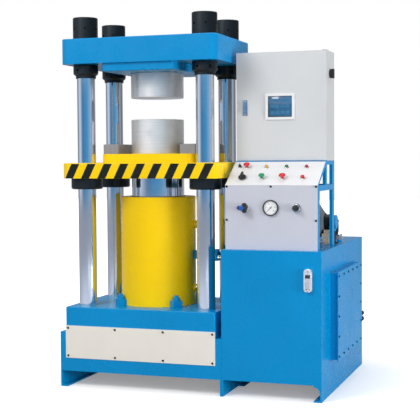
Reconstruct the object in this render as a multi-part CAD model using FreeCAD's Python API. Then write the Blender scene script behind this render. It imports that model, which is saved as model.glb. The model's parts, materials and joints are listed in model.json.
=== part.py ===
import FreeCAD, Part
import math
import os

# Four-column hydraulic press with its oil tank, console and switch cabinet.
# Millimetres, +Z up, X across the front, -Y towards the operator. The press axis is at X = Y = 0 while
# modelling; export() then moves everything so that the origin is under the middle of the whole machine.

# Plan sizes of the press
BED_X = 525.0            # half width of the bolster
BED_Y = 373.0            # half depth of bolster, platen and crosshead
HEAD_STEP = 18.0         # platen and crosshead wider than the bolster, at each side
COLUMN_R = 60.0
COLUMN_INSET_Y = 138.0   # column centres from the bed's front and back
BASE_STEP = 39.0         # base wider than the bolster, at each side

# Heights, stacked from the floor up
SKIRT_Z = 106.0          # free height under the skirts
BASE_TOP = 368.0
BOLSTER_T = 167.0
BARREL_LEN = 669.0       # cylinder barrel above the bolster
GLAND_T = 58.0
RAM_SHOWN = 127.0        # ram above the gland at rest
PLATEN_T = 101.0
RISER_T = 59.0
LOWER_DIE_H = 229.0
DAYLIGHT = 146.0         # gap between the dies at rest
UPPER_DIE_H = 164.0
PAD_T = 54.0
CROSSHEAD_T = 165.0
TOP_NUT_H = 147.0

# Working parts
DIE_R = 177.5
RAM_R = 177.0
PISTON_STEP = 13.0       # bore over ram, on the radius
BARREL_WALL = 64.0
BARREL_FLOOR_T = 80.0
SPIGOT_R = 150.0
PISTON_T = 100.0
PISTON_LIFT = 185.0      # piston underside above the barrel floor at rest
GLAND_NOSE = 104.0
RISER_Y = 216.0
BAR_GAP = 28.5           # between the lower die and each bar
BAR_H = 65.0             # bars beside the lower die
BAR_W = 106.0
BAR_FRONT_LEFT = 16.0    # bar ends from the riser plate's front and back
BAR_FRONT_RIGHT = 86.0
BAR_BACK = 16.0
RISER_STEP = 15.0        # riser plate beyond the bars, at each side
NUT_WALL = 23.0
CROSSHEAD_NUT_H = 70.0
COLLAR_H = 19.0
COLLAR_WALL = 7.0
SPANNER_HOLE_R = 8.0
SPANNER_HOLE_DEPTH = 14.0
BUSH_FLANGE_W = 45.0     # bush flange beyond the column, on the radius
BUSH_FLANGE_T = 73.0
BUSH_WALL = 15.0

# Clearances
RUN_FIT = 0.08           # running fits, on the radius
SEAT_FIT = 0.1           # fixed round pieces in their holes
GAP = 1.0                # air between neighbouring moving covers
EDGE_R = 4.0             # broken edges of castings and nuts
CORNER_R = 50.0          # upright corners of platen, crosshead and riser plate
CAST_R = 12.0            # upright corners of the bolster and the crosshead's pad
NUT_CHAMFER = 12.0       # lower rim of the nuts under the crosshead
FLANGE_CHAMFER = 8.0     # lower rim of the bush flanges

# Base and tank
PLATE_T = 10.0
TOE_W = 50.0
RIGHT_TOE_FRONT = 463.0  # the right toe starts this far behind the base's front
RIB_X = 175.0            # ribs across the base
ANCHOR_R = 9.0
ANCHOR_INSET = 28.0      # anchor holes from the outside of the side plates
TANK_ANCHOR_END = 80.0   # tank anchor holes from the tank's ends
ANCHOR_Y = 300.0
DECK_GAP = 7.0           # from the nuts under the bolster to the base's deck strips
TANK_W = 650.0
TANK_D = 1344.0
TANK_TOP = 938.0
TANK_T = 6.0
SKIRT_R = 50.0
COVER_SIDE = 40.0        # base's front cover from the base's ends
COVER_LOW = 194.0
COVER_H = 217.0
COVER_T = 3.0
SCREW_R = 7.0
SCREW_HEAD = 4.0
SCREW_INSET = 16.0
SCREW_SIDE = 18.0

# Hand-hole cover on the tank's right side
LID_FRONT = 228.0        # lid's edges from the tank's front, back, skirt and top
LID_BACK = 324.0
LID_LOW = 115.0
LID_HIGH = 147.0
LID_T = 8.0
NECK_INSET = 8.0
HAND_HOLE_INSET = 60.0
NECK_LEN = 50.0
LID_SCREW_INSET = 27.0

# Console
PANEL_BACK = 56.0        # gauge panel behind the tank's front
PANEL_LEFT = 14.0        # panel's sides inside the tank's
PANEL_RIGHT = 36.0
PANEL_H = 408.0
PANEL_T = 2.0
SLOPE_RUN = 230.0
SLOPE_RISE = 146.0
CABINET_D = 236.0
CABINET_H = 706.0
CABINET_LIFT = 6.0
SHEET_T = 2.0
DOOR_D = 18.0
DOOR_GAP = 2.0           # over and under the door
PIVOT_R = 2.5            # door pivot pins
PIVOT_IN = 5.0           # pivot axis from the door's right edge
PIVOT_BACK = 11.0        # and from its face
POST_X = 20.0
POST_Y = 60.0
RAIL_Z = 36.0
BEAM_Z = 27.0
SHORT_POST_Y = 40.0
DIAGONAL_T = 30.0

# Power unit
MOTOR_Y = 300.0
MOTOR_LIFT = 146.0       # motor axis above the tank
MOTOR_R = 118.0
MOTOR_LEN = 340.0
SUCTION_INSET = 65.0     # suction pipe from the tank's right side
FIN_H = 16.0
FIN_COUNT = 30
COWL_LEN = 62.0
SHAFT_R = 19.0
ROTOR_R = 66.0
STATOR_R = 84.0
SHIELD_LEN = 40.0        # motor's tapered end shield
BELL_LEN = 40.0
BELL_R = 51.0
BELL_WALL = 12.0
FLANGE_R = 60.0          # bell's flange and the end shield's nose
PUMP_LEN = 38.0
PUMP_R = 46.0
NOSE_R = 26.0            # pump's spigot in the bell housing
DRIVE_R = 12.0
PUMP_PORT = 62.0
PUMP_PORT_R = 15.0
PIPE_R = 11.0

# Values worked out from the ones above
BASE_X = BED_X + BASE_STEP
HEAD_X = BED_X + HEAD_STEP
SPIGOT_LEN = BOLSTER_T
NUT_R = COLUMN_R + NUT_WALL
COLLAR_R = COLUMN_R + COLLAR_WALL
BUSH_FLANGE_R = COLUMN_R + BUSH_FLANGE_W
COLUMN_X = BED_X - BUSH_FLANGE_R
COLUMN_Y = BED_Y - COLUMN_INSET_Y
BORE_R = RAM_R + PISTON_STEP
BARREL_R = BORE_R + BARREL_WALL
RISER_X = DIE_R + BAR_GAP + BAR_W + RISER_STEP
BOLSTER_TOP = BASE_TOP + BOLSTER_T
BARREL_TOP = BOLSTER_TOP + BARREL_LEN
GLAND_TOP = BARREL_TOP + GLAND_T
PLATEN_Z = GLAND_TOP + RAM_SHOWN
PLATEN_TOP = PLATEN_Z + PLATEN_T
RISER_TOP = PLATEN_TOP + RISER_T
LOWER_DIE_TOP = RISER_TOP + LOWER_DIE_H
UPPER_DIE_Z = LOWER_DIE_TOP + DAYLIGHT
PAD_Z = UPPER_DIE_Z + UPPER_DIE_H
CROSSHEAD_Z = PAD_Z + PAD_T
CROSSHEAD_TOP = CROSSHEAD_Z + CROSSHEAD_T
BARREL_FLOOR = BOLSTER_TOP + BARREL_FLOOR_T
PISTON_Z = BARREL_FLOOR + PISTON_LIFT
COLUMNS = [(sx * COLUMN_X, sy * COLUMN_Y) for sx in (-1, 1) for sy in (-1, 1)]
TANK_X0 = BASE_X + GAP
TANK_X1 = TANK_X0 + TANK_W
TANK_Y0 = -BED_Y
TANK_Y1 = TANK_Y0 + TANK_D
LID_Y0 = TANK_Y0 + LID_FRONT
LID_Y1 = TANK_Y1 - LID_BACK
LID_Z0 = SKIRT_Z + LID_LOW
LID_Z1 = TANK_TOP - LID_HIGH
COVER_X = BASE_X - COVER_SIDE
SCREW_PITCH_X = 2 * (COVER_X - SCREW_SIDE) / 3
PANEL_X0 = TANK_X0 + PANEL_LEFT
PANEL_X1 = TANK_X1 - PANEL_RIGHT
PANEL_W = PANEL_X1 - PANEL_X0
PANEL_Y = TANK_Y0 + PANEL_BACK
PANEL_TOP = TANK_TOP + PANEL_H
PANEL_MID = (PANEL_X0 + PANEL_X1) / 2
SLOPE_TOP_Y = PANEL_Y + SLOPE_RUN
SLOPE_TOP_Z = PANEL_TOP + SLOPE_RISE
FRAME_TOP = PANEL_TOP - PANEL_T
SLOPE_LEN = math.hypot(SLOPE_RUN, SLOPE_RISE)
SLOPE_ANGLE = math.degrees(math.atan2(SLOPE_RISE, SLOPE_RUN))
CABINET_Z0 = SLOPE_TOP_Z + CABINET_LIFT
CABINET_Z1 = CABINET_Z0 + CABINET_H
DOOR_Y = SLOPE_TOP_Y + 25.0
CABINET_Y0 = DOOR_Y + DOOR_D + 2 * GAP
CABINET_Y1 = DOOR_Y + CABINET_D
PIVOT_X = PANEL_X1 - PIVOT_IN
PIVOT_Y = DOOR_Y + PIVOT_BACK
SUCTION_X = TANK_X1 - SUCTION_INSET
BELL_X1 = SUCTION_X - PUMP_LEN / 2
MOTOR_X1 = BELL_X1 - BELL_LEN
MOTOR_X0 = MOTOR_X1 - MOTOR_LEN
MOTOR_Z = TANK_TOP + MOTOR_LIFT

AXES = {"x": FreeCAD.Vector(1, 0, 0), "y": FreeCAD.Vector(0, 1, 0), "z": FreeCAD.Vector(0, 0, 1)}


# ---------------------------------------------------------------- helpers

def point(x, y, z):
    return FreeCAD.Vector(x, y, z)


def box(x0, x1, y0, y1, z0, z1):
    return Part.makeBox(x1 - x0, y1 - y0, z1 - z0, point(x0, y0, z0))


def rod(axis, start, length, radius):
    """A cylinder from start (x, y, z) along a positive axis."""
    return Part.makeCylinder(radius, length, point(*start), AXES[axis])


def tube(axis, start, length, outer, inner):
    return rod(axis, start, length, outer).cut(rod(axis, start, length, inner))


def fuse(shapes):
    return shapes[0].multiFuse(shapes[1:]).removeSplitter()


def group(shapes):
    return Part.makeCompound(shapes)


def upright_edges(shape):
    """Straight edges that run along Z."""
    found = []
    for edge in shape.Edges:
        low, high = edge.Vertexes[0].Point, edge.Vertexes[-1].Point
        if abs(low.x - high.x) < 1e-6 and abs(low.y - high.y) < 1e-6 and abs(low.z - high.z) > 1e-3:
            found.append(edge)
    return found


def rounded_slab(half_x, half_y, z0, z1, corner):
    slab = box(-half_x, half_x, -half_y, half_y, z0, z1)
    return slab.makeFillet(corner, upright_edges(slab))


def soften(shape, z_level, size):
    """Chamfers every edge that lies wholly in the plane at z_level."""
    edges = []
    for edge in shape.Edges:
        bounds = edge.BoundBox
        if abs(bounds.ZMin - z_level) < 1e-4 and abs(bounds.ZMax - z_level) < 1e-4:
            edges.append(edge)
    return shape.makeChamfer(size, edges)


def turned(radius, z0, z1, chamfer, x=0.0, y=0.0):
    """An upright turned cylinder with both rims chamfered."""
    body = rod("z", (x, y, z0), z1 - z0, radius)
    return body.makeChamfer(chamfer, [edge for edge in body.Edges if len(edge.Vertexes) == 1])


def pipe_run(points, radius, bend):
    """A bent steel pipe: straight runs joined by quarter bends of one radius."""
    points = [point(*p) for p in points]
    edges = []
    start = points[0]
    for before, corner, after in zip(points, points[1:], points[2:]):
        inward = (before - corner).normalize()
        outward = (after - corner).normalize()
        arc_start = corner + inward * bend
        arc_end = corner + outward * bend
        centre = corner + inward * bend + outward * bend
        middle = centre + (corner - centre).normalize() * bend
        edges.append(Part.LineSegment(start, arc_start).toShape())
        edges.append(Part.Arc(arc_start, middle, arc_end).toShape())
        start = arc_end
    edges.append(Part.LineSegment(start, points[-1]).toShape())
    direction = points[1] - points[0]
    section = Part.Wire(Part.makeCircle(radius, points[0], direction))
    return Part.Wire(edges).makePipeShell([section], True, False)


def on_slope(shape, x, along):
    """Moves a piece built about the origin, +Z outwards, onto the sloped panel's face."""
    turn = FreeCAD.Rotation(AXES["x"], SLOPE_ANGLE)
    along_y = SLOPE_RUN * along / SLOPE_LEN
    along_z = SLOPE_RISE * along / SLOPE_LEN
    spot = point(x, PANEL_Y + along_y, PANEL_TOP + along_z)
    shape.Placement = FreeCAD.Placement(spot, turn)
    return shape


def on_front(shape, x, z):
    """Moves a piece built about the origin, +Z outwards, onto the upright gauge panel's face."""
    turn = FreeCAD.Rotation(AXES["x"], 90)
    shape.Placement = FreeCAD.Placement(point(x, PANEL_Y, z), turn)
    return shape


# ---------------------------------------------------------------- press frame

def base_frame():
    """Welded base: skirts, side plates down to the floor, deck strips, inward toes; anchors on the left."""
    plates = [
        box(-BASE_X, BASE_X, -BED_Y, -BED_Y + PLATE_T, SKIRT_Z, BASE_TOP),
        box(-BASE_X, BASE_X, BED_Y - PLATE_T, BED_Y, SKIRT_Z, BASE_TOP),
    ]
    for side in (-1, 1):
        wall = sorted((side * BASE_X, side * (BASE_X - PLATE_T)))
        toe = sorted((side * BASE_X, side * (BASE_X - TOE_W)))
        toe_front = -BED_Y if side < 0 else -BED_Y + RIGHT_TOE_FRONT
        plates.append(box(*wall, -BED_Y, BED_Y, 0, BASE_TOP))
        plates.append(box(*toe, toe_front, BED_Y, 0, PLATE_T))
        deck = sorted((side * BASE_X, side * (COLUMN_X + NUT_R + DECK_GAP)))
        plates.append(box(*deck, -BED_Y, BED_Y, BASE_TOP - PLATE_T, BASE_TOP))
    rib_half = PLATE_T / 2
    for rib_x in (-RIB_X, RIB_X):
        plates.append(box(rib_x - rib_half, rib_x + rib_half, -BED_Y, BED_Y, SKIRT_Z, BASE_TOP - TOP_NUT_H))
    frame = fuse(plates)
    for hole_y in (-ANCHOR_Y, ANCHOR_Y):
        frame = frame.cut(rod("z", (ANCHOR_INSET - BASE_X, hole_y, -1), PLATE_T + 2, ANCHOR_R))
    return frame


def bolster():
    block = rounded_slab(BED_X, BED_Y, BASE_TOP, BOLSTER_TOP, CAST_R)
    block = soften(block, BOLSTER_TOP, EDGE_R)
    for x, y in COLUMNS:
        block = block.cut(rod("z", (x, y, BASE_TOP - 1), BOLSTER_T + 2, COLUMN_R + SEAT_FIT))
    return block.cut(rod("z", (0, 0, BASE_TOP - 1), BOLSTER_T + 2, SPIGOT_R + SEAT_FIT))


def crosshead():
    pad_x, pad_y = 250.0, 355.0
    block = rounded_slab(HEAD_X, BED_Y, CROSSHEAD_Z, CROSSHEAD_TOP, CORNER_R)
    block = soften(block, CROSSHEAD_TOP, EDGE_R)
    pad = rounded_slab(pad_x, pad_y, PAD_Z, CROSSHEAD_Z, CAST_R)
    block = fuse([block, soften(pad, PAD_Z, EDGE_R)])
    for x, y in COLUMNS:
        block = block.cut(rod("z", (x, y, PAD_Z - 1), PAD_T + CROSSHEAD_T + 2, COLUMN_R + SEAT_FIT))
    return block


def columns():
    low = BASE_TOP - TOP_NUT_H + EDGE_R
    high = CROSSHEAD_TOP + TOP_NUT_H - EDGE_R
    return group([turned(COLUMN_R, low, high, 3.0, x, y) for x, y in COLUMNS])


def spanner_nut(x, y, z0, height, hole_turn, low_chamfer=EDGE_R):
    """A round nut with six radial holes for a pin spanner."""
    nut = soften(rod("z", (x, y, z0), height, NUT_R), z0 + height, EDGE_R)
    nut = soften(nut, z0, low_chamfer)
    nut = nut.cut(rod("z", (x, y, z0 - 1), height + 2, COLUMN_R + SEAT_FIT))
    for step in range(6):
        angle = math.radians(hole_turn + 60 * step)
        outward = point(math.cos(angle), math.sin(angle), 0)
        start = point(x, y, z0 + height / 2) + outward * (NUT_R - SPANNER_HOLE_DEPTH)
        nut = nut.cut(Part.makeCylinder(SPANNER_HOLE_R, SPANNER_HOLE_DEPTH + 1, start, outward))
    return nut


def column_nuts():
    nuts = []
    for x, y in COLUMNS:
        nuts.append(spanner_nut(x, y, CROSSHEAD_TOP, TOP_NUT_H, -66))
        nuts.append(spanner_nut(x, y, BASE_TOP - TOP_NUT_H, TOP_NUT_H, -66))
    return group(nuts)


def crosshead_nuts():
    """Nuts under the crosshead, each with a smaller collar below."""
    nuts = []
    nut_z = CROSSHEAD_Z - CROSSHEAD_NUT_H
    for x, y in COLUMNS:
        nut = spanner_nut(x, y, nut_z, CROSSHEAD_NUT_H, -47, NUT_CHAMFER)
        collar = tube("z", (x, y, nut_z - COLLAR_H), COLLAR_H, COLLAR_R, COLUMN_R + SEAT_FIT)
        nuts.append(fuse([nut, collar]))
    return group(nuts)


def upper_die():
    return turned(DIE_R, UPPER_DIE_Z, PAD_Z, 2.0)


# ---------------------------------------------------------------- cylinder

WIPER_SEAT = 10.0
WIPER_R = RAM_R + 9.0
PORT_R = 12.0
PORT_LOW_Z = BARREL_FLOOR + 30.0
PORT_HIGH_Z = BARREL_TOP - GLAND_NOSE - 26.0
PORT_BOSS_R = 26.0
PORT_BOSS_X = BARREL_R + 18.0


def cylinder_barrel():
    barrel = rod("z", (0, 0, BOLSTER_TOP), BARREL_LEN, BARREL_R)
    spigot = rod("z", (0, 0, BOLSTER_TOP - SPIGOT_LEN), SPIGOT_LEN + 1, SPIGOT_R)
    shapes = [barrel, spigot]
    for port_z in (PORT_LOW_Z, PORT_HIGH_Z):
        shapes.append(rod("x", (BORE_R + 10, 0, port_z), PORT_BOSS_X - BORE_R - 10, PORT_BOSS_R))
    barrel = fuse(shapes)
    barrel = barrel.cut(rod("z", (0, 0, BARREL_FLOOR), BARREL_LEN, BORE_R))
    for port_z in (PORT_LOW_Z, PORT_HIGH_Z):
        barrel = barrel.cut(rod("x", (BORE_R - 10, 0, port_z), PORT_BOSS_X - BORE_R + 20, PORT_R))
    return barrel


def cylinder_gland():
    """Gland ring on the barrel, with a nose in the bore that guides the ram."""
    flange = soften(rod("z", (0, 0, BARREL_TOP), GLAND_T, BARREL_R), GLAND_TOP, EDGE_R)
    nose_z = BARREL_TOP - GLAND_NOSE
    nose = rod("z", (0, 0, nose_z), GLAND_NOSE + 1, BORE_R - SEAT_FIT)
    gland = fuse([flange, nose])
    gland = gland.cut(rod("z", (0, 0, nose_z - 1), GLAND_NOSE + GLAND_T + 2, RAM_R + RUN_FIT))
    return gland.cut(rod("z", (0, 0, GLAND_TOP - WIPER_SEAT), WIPER_SEAT + 1, WIPER_R))


def wiper_ring():
    lip = 3.0
    return tube("z", (0, 0, GLAND_TOP - WIPER_SEAT), WIPER_SEAT + lip, WIPER_R - SEAT_FIT, RAM_R + RUN_FIT)


def cylinder_clamps():
    """Four clamp blocks round the cylinder's foot, each held by a stud and nut."""
    block_w, block_d, block_h, into = 66.0, 52.0, 44.0, 8.0
    stud_r, stud_h, nut_r, nut_h = 14.0, 78.0, 24.0, 22.0
    clamps = []
    for angle in (45, 135, 225, 315):
        start = BARREL_R + SEAT_FIT
        block = box(start - into, start + block_d, -block_w / 2, block_w / 2, 0, block_h)
        block = block.cut(rod("z", (0, 0, -1), block_h + 2, BARREL_R + SEAT_FIT))
        stud_x = start + block_d / 2
        stud = rod("z", (stud_x, 0, block_h - 1), stud_h - block_h + 1, stud_r)
        nut = Part.makePolygon([
            point(stud_x + nut_r * math.cos(math.radians(a)), nut_r * math.sin(math.radians(a)), block_h - 1)
            for a in range(0, 361, 60)
        ])
        nut = Part.Face(nut).extrude(point(0, 0, nut_h + 1))
        clamp = fuse([block, stud, nut])
        clamp.Placement = FreeCAD.Placement(point(0, 0, BOLSTER_TOP), FreeCAD.Rotation(AXES["z"], angle))
        clamps.append(clamp)
    return group(clamps)


# ---------------------------------------------------------------- moving ram and table

def ram():
    shaft = rod("z", (0, 0, PISTON_Z + PISTON_T), PLATEN_Z - PISTON_Z - PISTON_T, RAM_R)
    piston = turned(BORE_R - RUN_FIT, PISTON_Z, PISTON_Z + PISTON_T, 2.0)
    return fuse([shaft, piston])


def platen():
    slab = rounded_slab(HEAD_X, BED_Y, PLATEN_Z, PLATEN_TOP, CORNER_R)
    slab = soften(slab, PLATEN_TOP, EDGE_R)
    for x, y in COLUMNS:
        slab = slab.cut(rod("z", (x, y, PLATEN_Z - 1), PLATEN_T + 2, COLUMN_R + BUSH_WALL + SEAT_FIT))
    return slab


def guide_bushes():
    """Flanged bushes pressed up into the platen, one round each column."""
    bushes = []
    for x, y in COLUMNS:
        flange = rod("z", (x, y, PLATEN_Z - BUSH_FLANGE_T), BUSH_FLANGE_T, BUSH_FLANGE_R)
        flange = soften(flange, PLATEN_Z - BUSH_FLANGE_T, FLANGE_CHAMFER)
        sleeve = rod("z", (x, y, PLATEN_Z - 1), PLATEN_T + 1, COLUMN_R + BUSH_WALL)
        bush = fuse([flange, sleeve])
        bore_z = PLATEN_Z - BUSH_FLANGE_T - 1
        bushes.append(bush.cut(rod("z", (x, y, bore_z), BUSH_FLANGE_T + PLATEN_T + 2, COLUMN_R + RUN_FIT)))
    return group(bushes)


def riser_plate():
    plate = rounded_slab(RISER_X, RISER_Y, PLATEN_TOP, RISER_TOP, CORNER_R)
    return soften(plate, RISER_TOP, 2.0)


def die_side_bars():
    bars = []
    inner = DIE_R + BAR_GAP
    for side, front in ((-1, BAR_FRONT_LEFT), (1, BAR_FRONT_RIGHT)):
        ends = sorted((side * inner, side * (inner + BAR_W)))
        bar = box(*ends, front - RISER_Y, RISER_Y - BAR_BACK, RISER_TOP, RISER_TOP + BAR_H)
        bars.append(soften(bar, RISER_TOP + BAR_H, 3.0))
    return group(bars)


def lower_die():
    return turned(DIE_R, RISER_TOP, LOWER_DIE_TOP, 2.0)


# ---------------------------------------------------------------- base cover and tank

LID_X = TANK_X1 + NECK_LEN
GAUGE_X0, GAUGE_X1 = TANK_X1 - 109.0, TANK_X1 - 56.0
GAUGE_Z0, GAUGE_Z1 = TANK_TOP - 251.0, TANK_TOP - 107.0
FILLER_X, FILLER_Y = TANK_X1 - 64.0, 470.0
FILLER_R = 17.0
FILLER_NECK_H = 26.0
FILLER_WALL = 3.0


def base_front_cover():
    return box(-COVER_X, COVER_X, -BED_Y - COVER_T, -BED_Y, COVER_LOW, COVER_LOW + COVER_H)


def lid_screw_spots():
    """Centres (y, z) of the hand-hole cover's screws: six above, six below, three at each side."""
    spots = []
    for row in range(6):
        y = LID_Y0 + LID_SCREW_INSET + row * (LID_Y1 - LID_Y0 - 2 * LID_SCREW_INSET) / 5
        spots.append((y, LID_Z0 + LID_SCREW_INSET))
        spots.append((y, LID_Z1 - LID_SCREW_INSET))
    for row in range(1, 4):
        z = LID_Z0 + LID_SCREW_INSET + row * (LID_Z1 - LID_Z0 - 2 * LID_SCREW_INSET) / 4
        spots.append((LID_Y0 + LID_SCREW_INSET, z))
        spots.append((LID_Y1 - LID_SCREW_INSET, z))
    return spots


def cover_screws():
    """All the black button-head screws: base cover, gauge panel and tank hand-hole cover."""
    screws = []
    cover_y = -BED_Y - COVER_T
    for column in (-1.5, -0.5, 0.5, 1.5):
        for z in (COVER_LOW + SCREW_INSET, COVER_LOW + COVER_H - SCREW_INSET):
            head = rod("y", (column * SCREW_PITCH_X, cover_y - SCREW_HEAD, z), SCREW_HEAD, SCREW_R)
            screws.append(head)
    for x, z in panel_screw_spots():
        screws.append(rod("y", (x, PANEL_Y - SCREW_HEAD, z), SCREW_HEAD, SCREW_R))
    for y, z in lid_screw_spots():
        screws.append(rod("x", (LID_X + LID_T, y, z), SCREW_HEAD, SCREW_R))
    return group([screw.makeChamfer(1.5, [front_rim(screw)]) for screw in screws])


def front_rim(screw):
    """The outer rim of a screw head: on its -Y end, or on its +X end."""
    rims = [edge for edge in screw.Edges if len(edge.Vertexes) == 1]
    along_y = rims[0].BoundBox.YLength < 1e-3
    if along_y:
        return min(rims, key=lambda edge: edge.BoundBox.YMin)
    return max(rims, key=lambda edge: edge.BoundBox.XMax)


def panel_screw_spots():
    inset_x, inset_z, lower_z = 10.0, 8.0, 220.0
    top = PANEL_TOP - inset_z
    spots = [(PANEL_X0 + inset_x, top), (PANEL_MID, top), (PANEL_X1 - inset_x, top)]
    spots.append((PANEL_X0 + inset_x, PANEL_TOP - lower_z))
    spots.append((PANEL_X1 - inset_x, PANEL_TOP - lower_z))
    return spots


def neck_box(x0, x1, inset):
    """A box across the hand-hole neck, this far inside the lid's outline."""
    return box(x0, x1, LID_Y0 + inset, LID_Y1 - inset, LID_Z0 + inset, LID_Z1 - inset)


def oil_tank():
    """Welded sheet tank with the hand-hole neck, filler neck, rear ports and floor toes."""
    outer = box(TANK_X0, TANK_X1, TANK_Y0, TANK_Y1, SKIRT_Z, TANK_TOP)
    neck = neck_box(TANK_X1 - 1, LID_X, NECK_INSET)
    filler = rod("z", (FILLER_X, FILLER_Y, TANK_TOP - 1), FILLER_NECK_H + 1, FILLER_R)
    left_wall = box(TANK_X0, TANK_X0 + PLATE_T, TANK_Y0, TANK_Y1, 0, SKIRT_Z + 1)
    right_wall = box(TANK_X1 - PLATE_T, TANK_X1, TANK_Y0, TANK_Y1, 0, SKIRT_Z + 1)
    toe = box(TANK_X1 - TOE_W, TANK_X1, TANK_Y0, TANK_Y1, 0, PLATE_T)
    left_toe = box(TANK_X0, TANK_X0 + TOE_W, TANK_Y0 + TANK_D / 4, TANK_Y1, 0, PLATE_T)
    web = box(TANK_X1 - SKIRT_R, TANK_X1, TANK_Y0, TANK_Y0 + TANK_T, SKIRT_Z - SKIRT_R, SKIRT_Z + 1)
    web_centre = (TANK_X1 - SKIRT_R, TANK_Y0 - 1, SKIRT_Z - SKIRT_R)
    web = web.cut(rod("y", web_centre, TANK_T + 2, SKIRT_R - PLATE_T))
    tank = fuse([outer, neck, filler, left_wall, right_wall, toe, left_toe, web])
    inside = box(
        TANK_X0 + TANK_T, TANK_X1 - TANK_T, TANK_Y0 + TANK_T, TANK_Y1 - TANK_T,
        SKIRT_Z + TANK_T, TANK_TOP - TANK_T,
    )
    hand_hole = neck_box(TANK_X1 - 2 * TANK_T, LID_X + 1, HAND_HOLE_INSET)
    under_top = TANK_TOP - 2 * TANK_T
    bore_len = FILLER_NECK_H + 3 * TANK_T
    filler_bore = rod("z", (FILLER_X, FILLER_Y, under_top), bore_len, FILLER_R - FILLER_WALL)
    suction_hole = rod("z", (SUCTION_X, MOTOR_Y, under_top), 3 * TANK_T, SUCTION_R + SEAT_FIT)
    for hollow in (inside, hand_hole, filler_bore, suction_hole):
        tank = tank.cut(hollow)
    for hole_y in (TANK_Y0 + TANK_ANCHOR_END, TANK_Y1 - TANK_ANCHOR_END):
        tank = tank.cut(rod("z", (TANK_X1 - ANCHOR_INSET, hole_y, -1), PLATE_T + 2, ANCHOR_R))
    return tank


def tank_side_cover():
    return neck_box(LID_X, LID_X + LID_T, 0)


def level_gauge():
    """Sight gauge on the tank front: a rounded case with a window slot."""
    depth, slot_d, inset = 22.0, 8.0, 11.0
    mid_z = (GAUGE_Z0 + GAUGE_Z1) / 2
    half = (GAUGE_X1 - GAUGE_X0) / 2
    case = box(-half, half, GAUGE_Z0 - mid_z, GAUGE_Z1 - mid_z, 0, depth)
    case = case.makeFillet(half - 6, upright_edges(case))
    case = soften(case, depth, 3.0)
    slot_low = GAUGE_Z0 + inset - mid_z
    slot_high = GAUGE_Z1 - 3 * inset - mid_z
    slot = box(-half + inset, half - inset, slot_low, slot_high, depth - slot_d, depth + 1)
    case = case.cut(slot)
    turn = FreeCAD.Rotation(AXES["x"], 90)
    case.Placement = FreeCAD.Placement(point((GAUGE_X0 + GAUGE_X1) / 2, TANK_Y0, mid_z), turn)
    return case


def tank_rear_ports():
    """Two screwed port plugs on the tank's back."""
    plugs = []
    body_r, cap_r, length, inset = 12.0, 18.0, 34.0, 14.0
    for z in (328.0, 368.0):
        body = rod("y", (TANK_X1 - inset, TANK_Y1, z), length, body_r)
        cap = rod("y", (TANK_X1 - inset, TANK_Y1 + length - 1, z), length, cap_r)
        plugs.append(fuse([body, cap]))
    return group(plugs)


def filler_cap():
    cap_r, cap_h, skirt = 21.0, 40.0, 14.0
    low = TANK_TOP + FILLER_NECK_H - skirt
    cap = turned(cap_r, low, low + cap_h, 2.5, FILLER_X, FILLER_Y)
    return cap.cut(rod("z", (FILLER_X, FILLER_Y, low - 1), skirt + 1, FILLER_R + GAP))


# ---------------------------------------------------------------- power unit

SUCTION_R = PIPE_R + 2.0
MOUNT_TOP = MOTOR_Z - MOTOR_R - 6.0
SHELL_R = MOTOR_R - FIN_H
FIN_END = 22.0           # fins stop short of the motor's rear end


def motor_mount():
    """Two cross rails and a plate under the motor, and a stepped foot under the bell housing."""
    plate_t, rail_w, rail_in, half = 12.0, 50.0, 40.0, 90.0
    foot_half, foot_top_h, foot_low_h, leg_w = 60.0, 27.0, 20.0, 16.0
    wide = (MOTOR_Y - half, MOTOR_Y + half)
    plate_x1 = MOTOR_X1 - SHIELD_LEN
    plate_z = MOUNT_TOP - plate_t
    shapes = [box(MOTOR_X0 + rail_in / 2, plate_x1, *wide, plate_z, MOUNT_TOP)]
    for x0 in (MOTOR_X0 + rail_in, plate_x1 - rail_in - rail_w):
        shapes.append(box(x0, x0 + rail_w, *wide, TANK_TOP, plate_z))
    front, back = MOTOR_Y - foot_half, MOTOR_Y + foot_half
    foot_top = MOTOR_Z - BELL_R - SEAT_FIT
    foot_mid = foot_top - foot_top_h
    foot_low = foot_mid - foot_low_h
    foot = [
        box(MOTOR_X1 + 3, BELL_X1, front, back, foot_mid, foot_top),
        box(MOTOR_X1 - 11, BELL_X1, front, back, foot_low, foot_mid),
    ]
    for leg_y in (front, back - leg_w):
        foot.append(box(MOTOR_X1 + 3, BELL_X1 - 4, leg_y, leg_y + leg_w, TANK_TOP, foot_low))
    return group([fuse(shapes), fuse(foot)])


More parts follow.
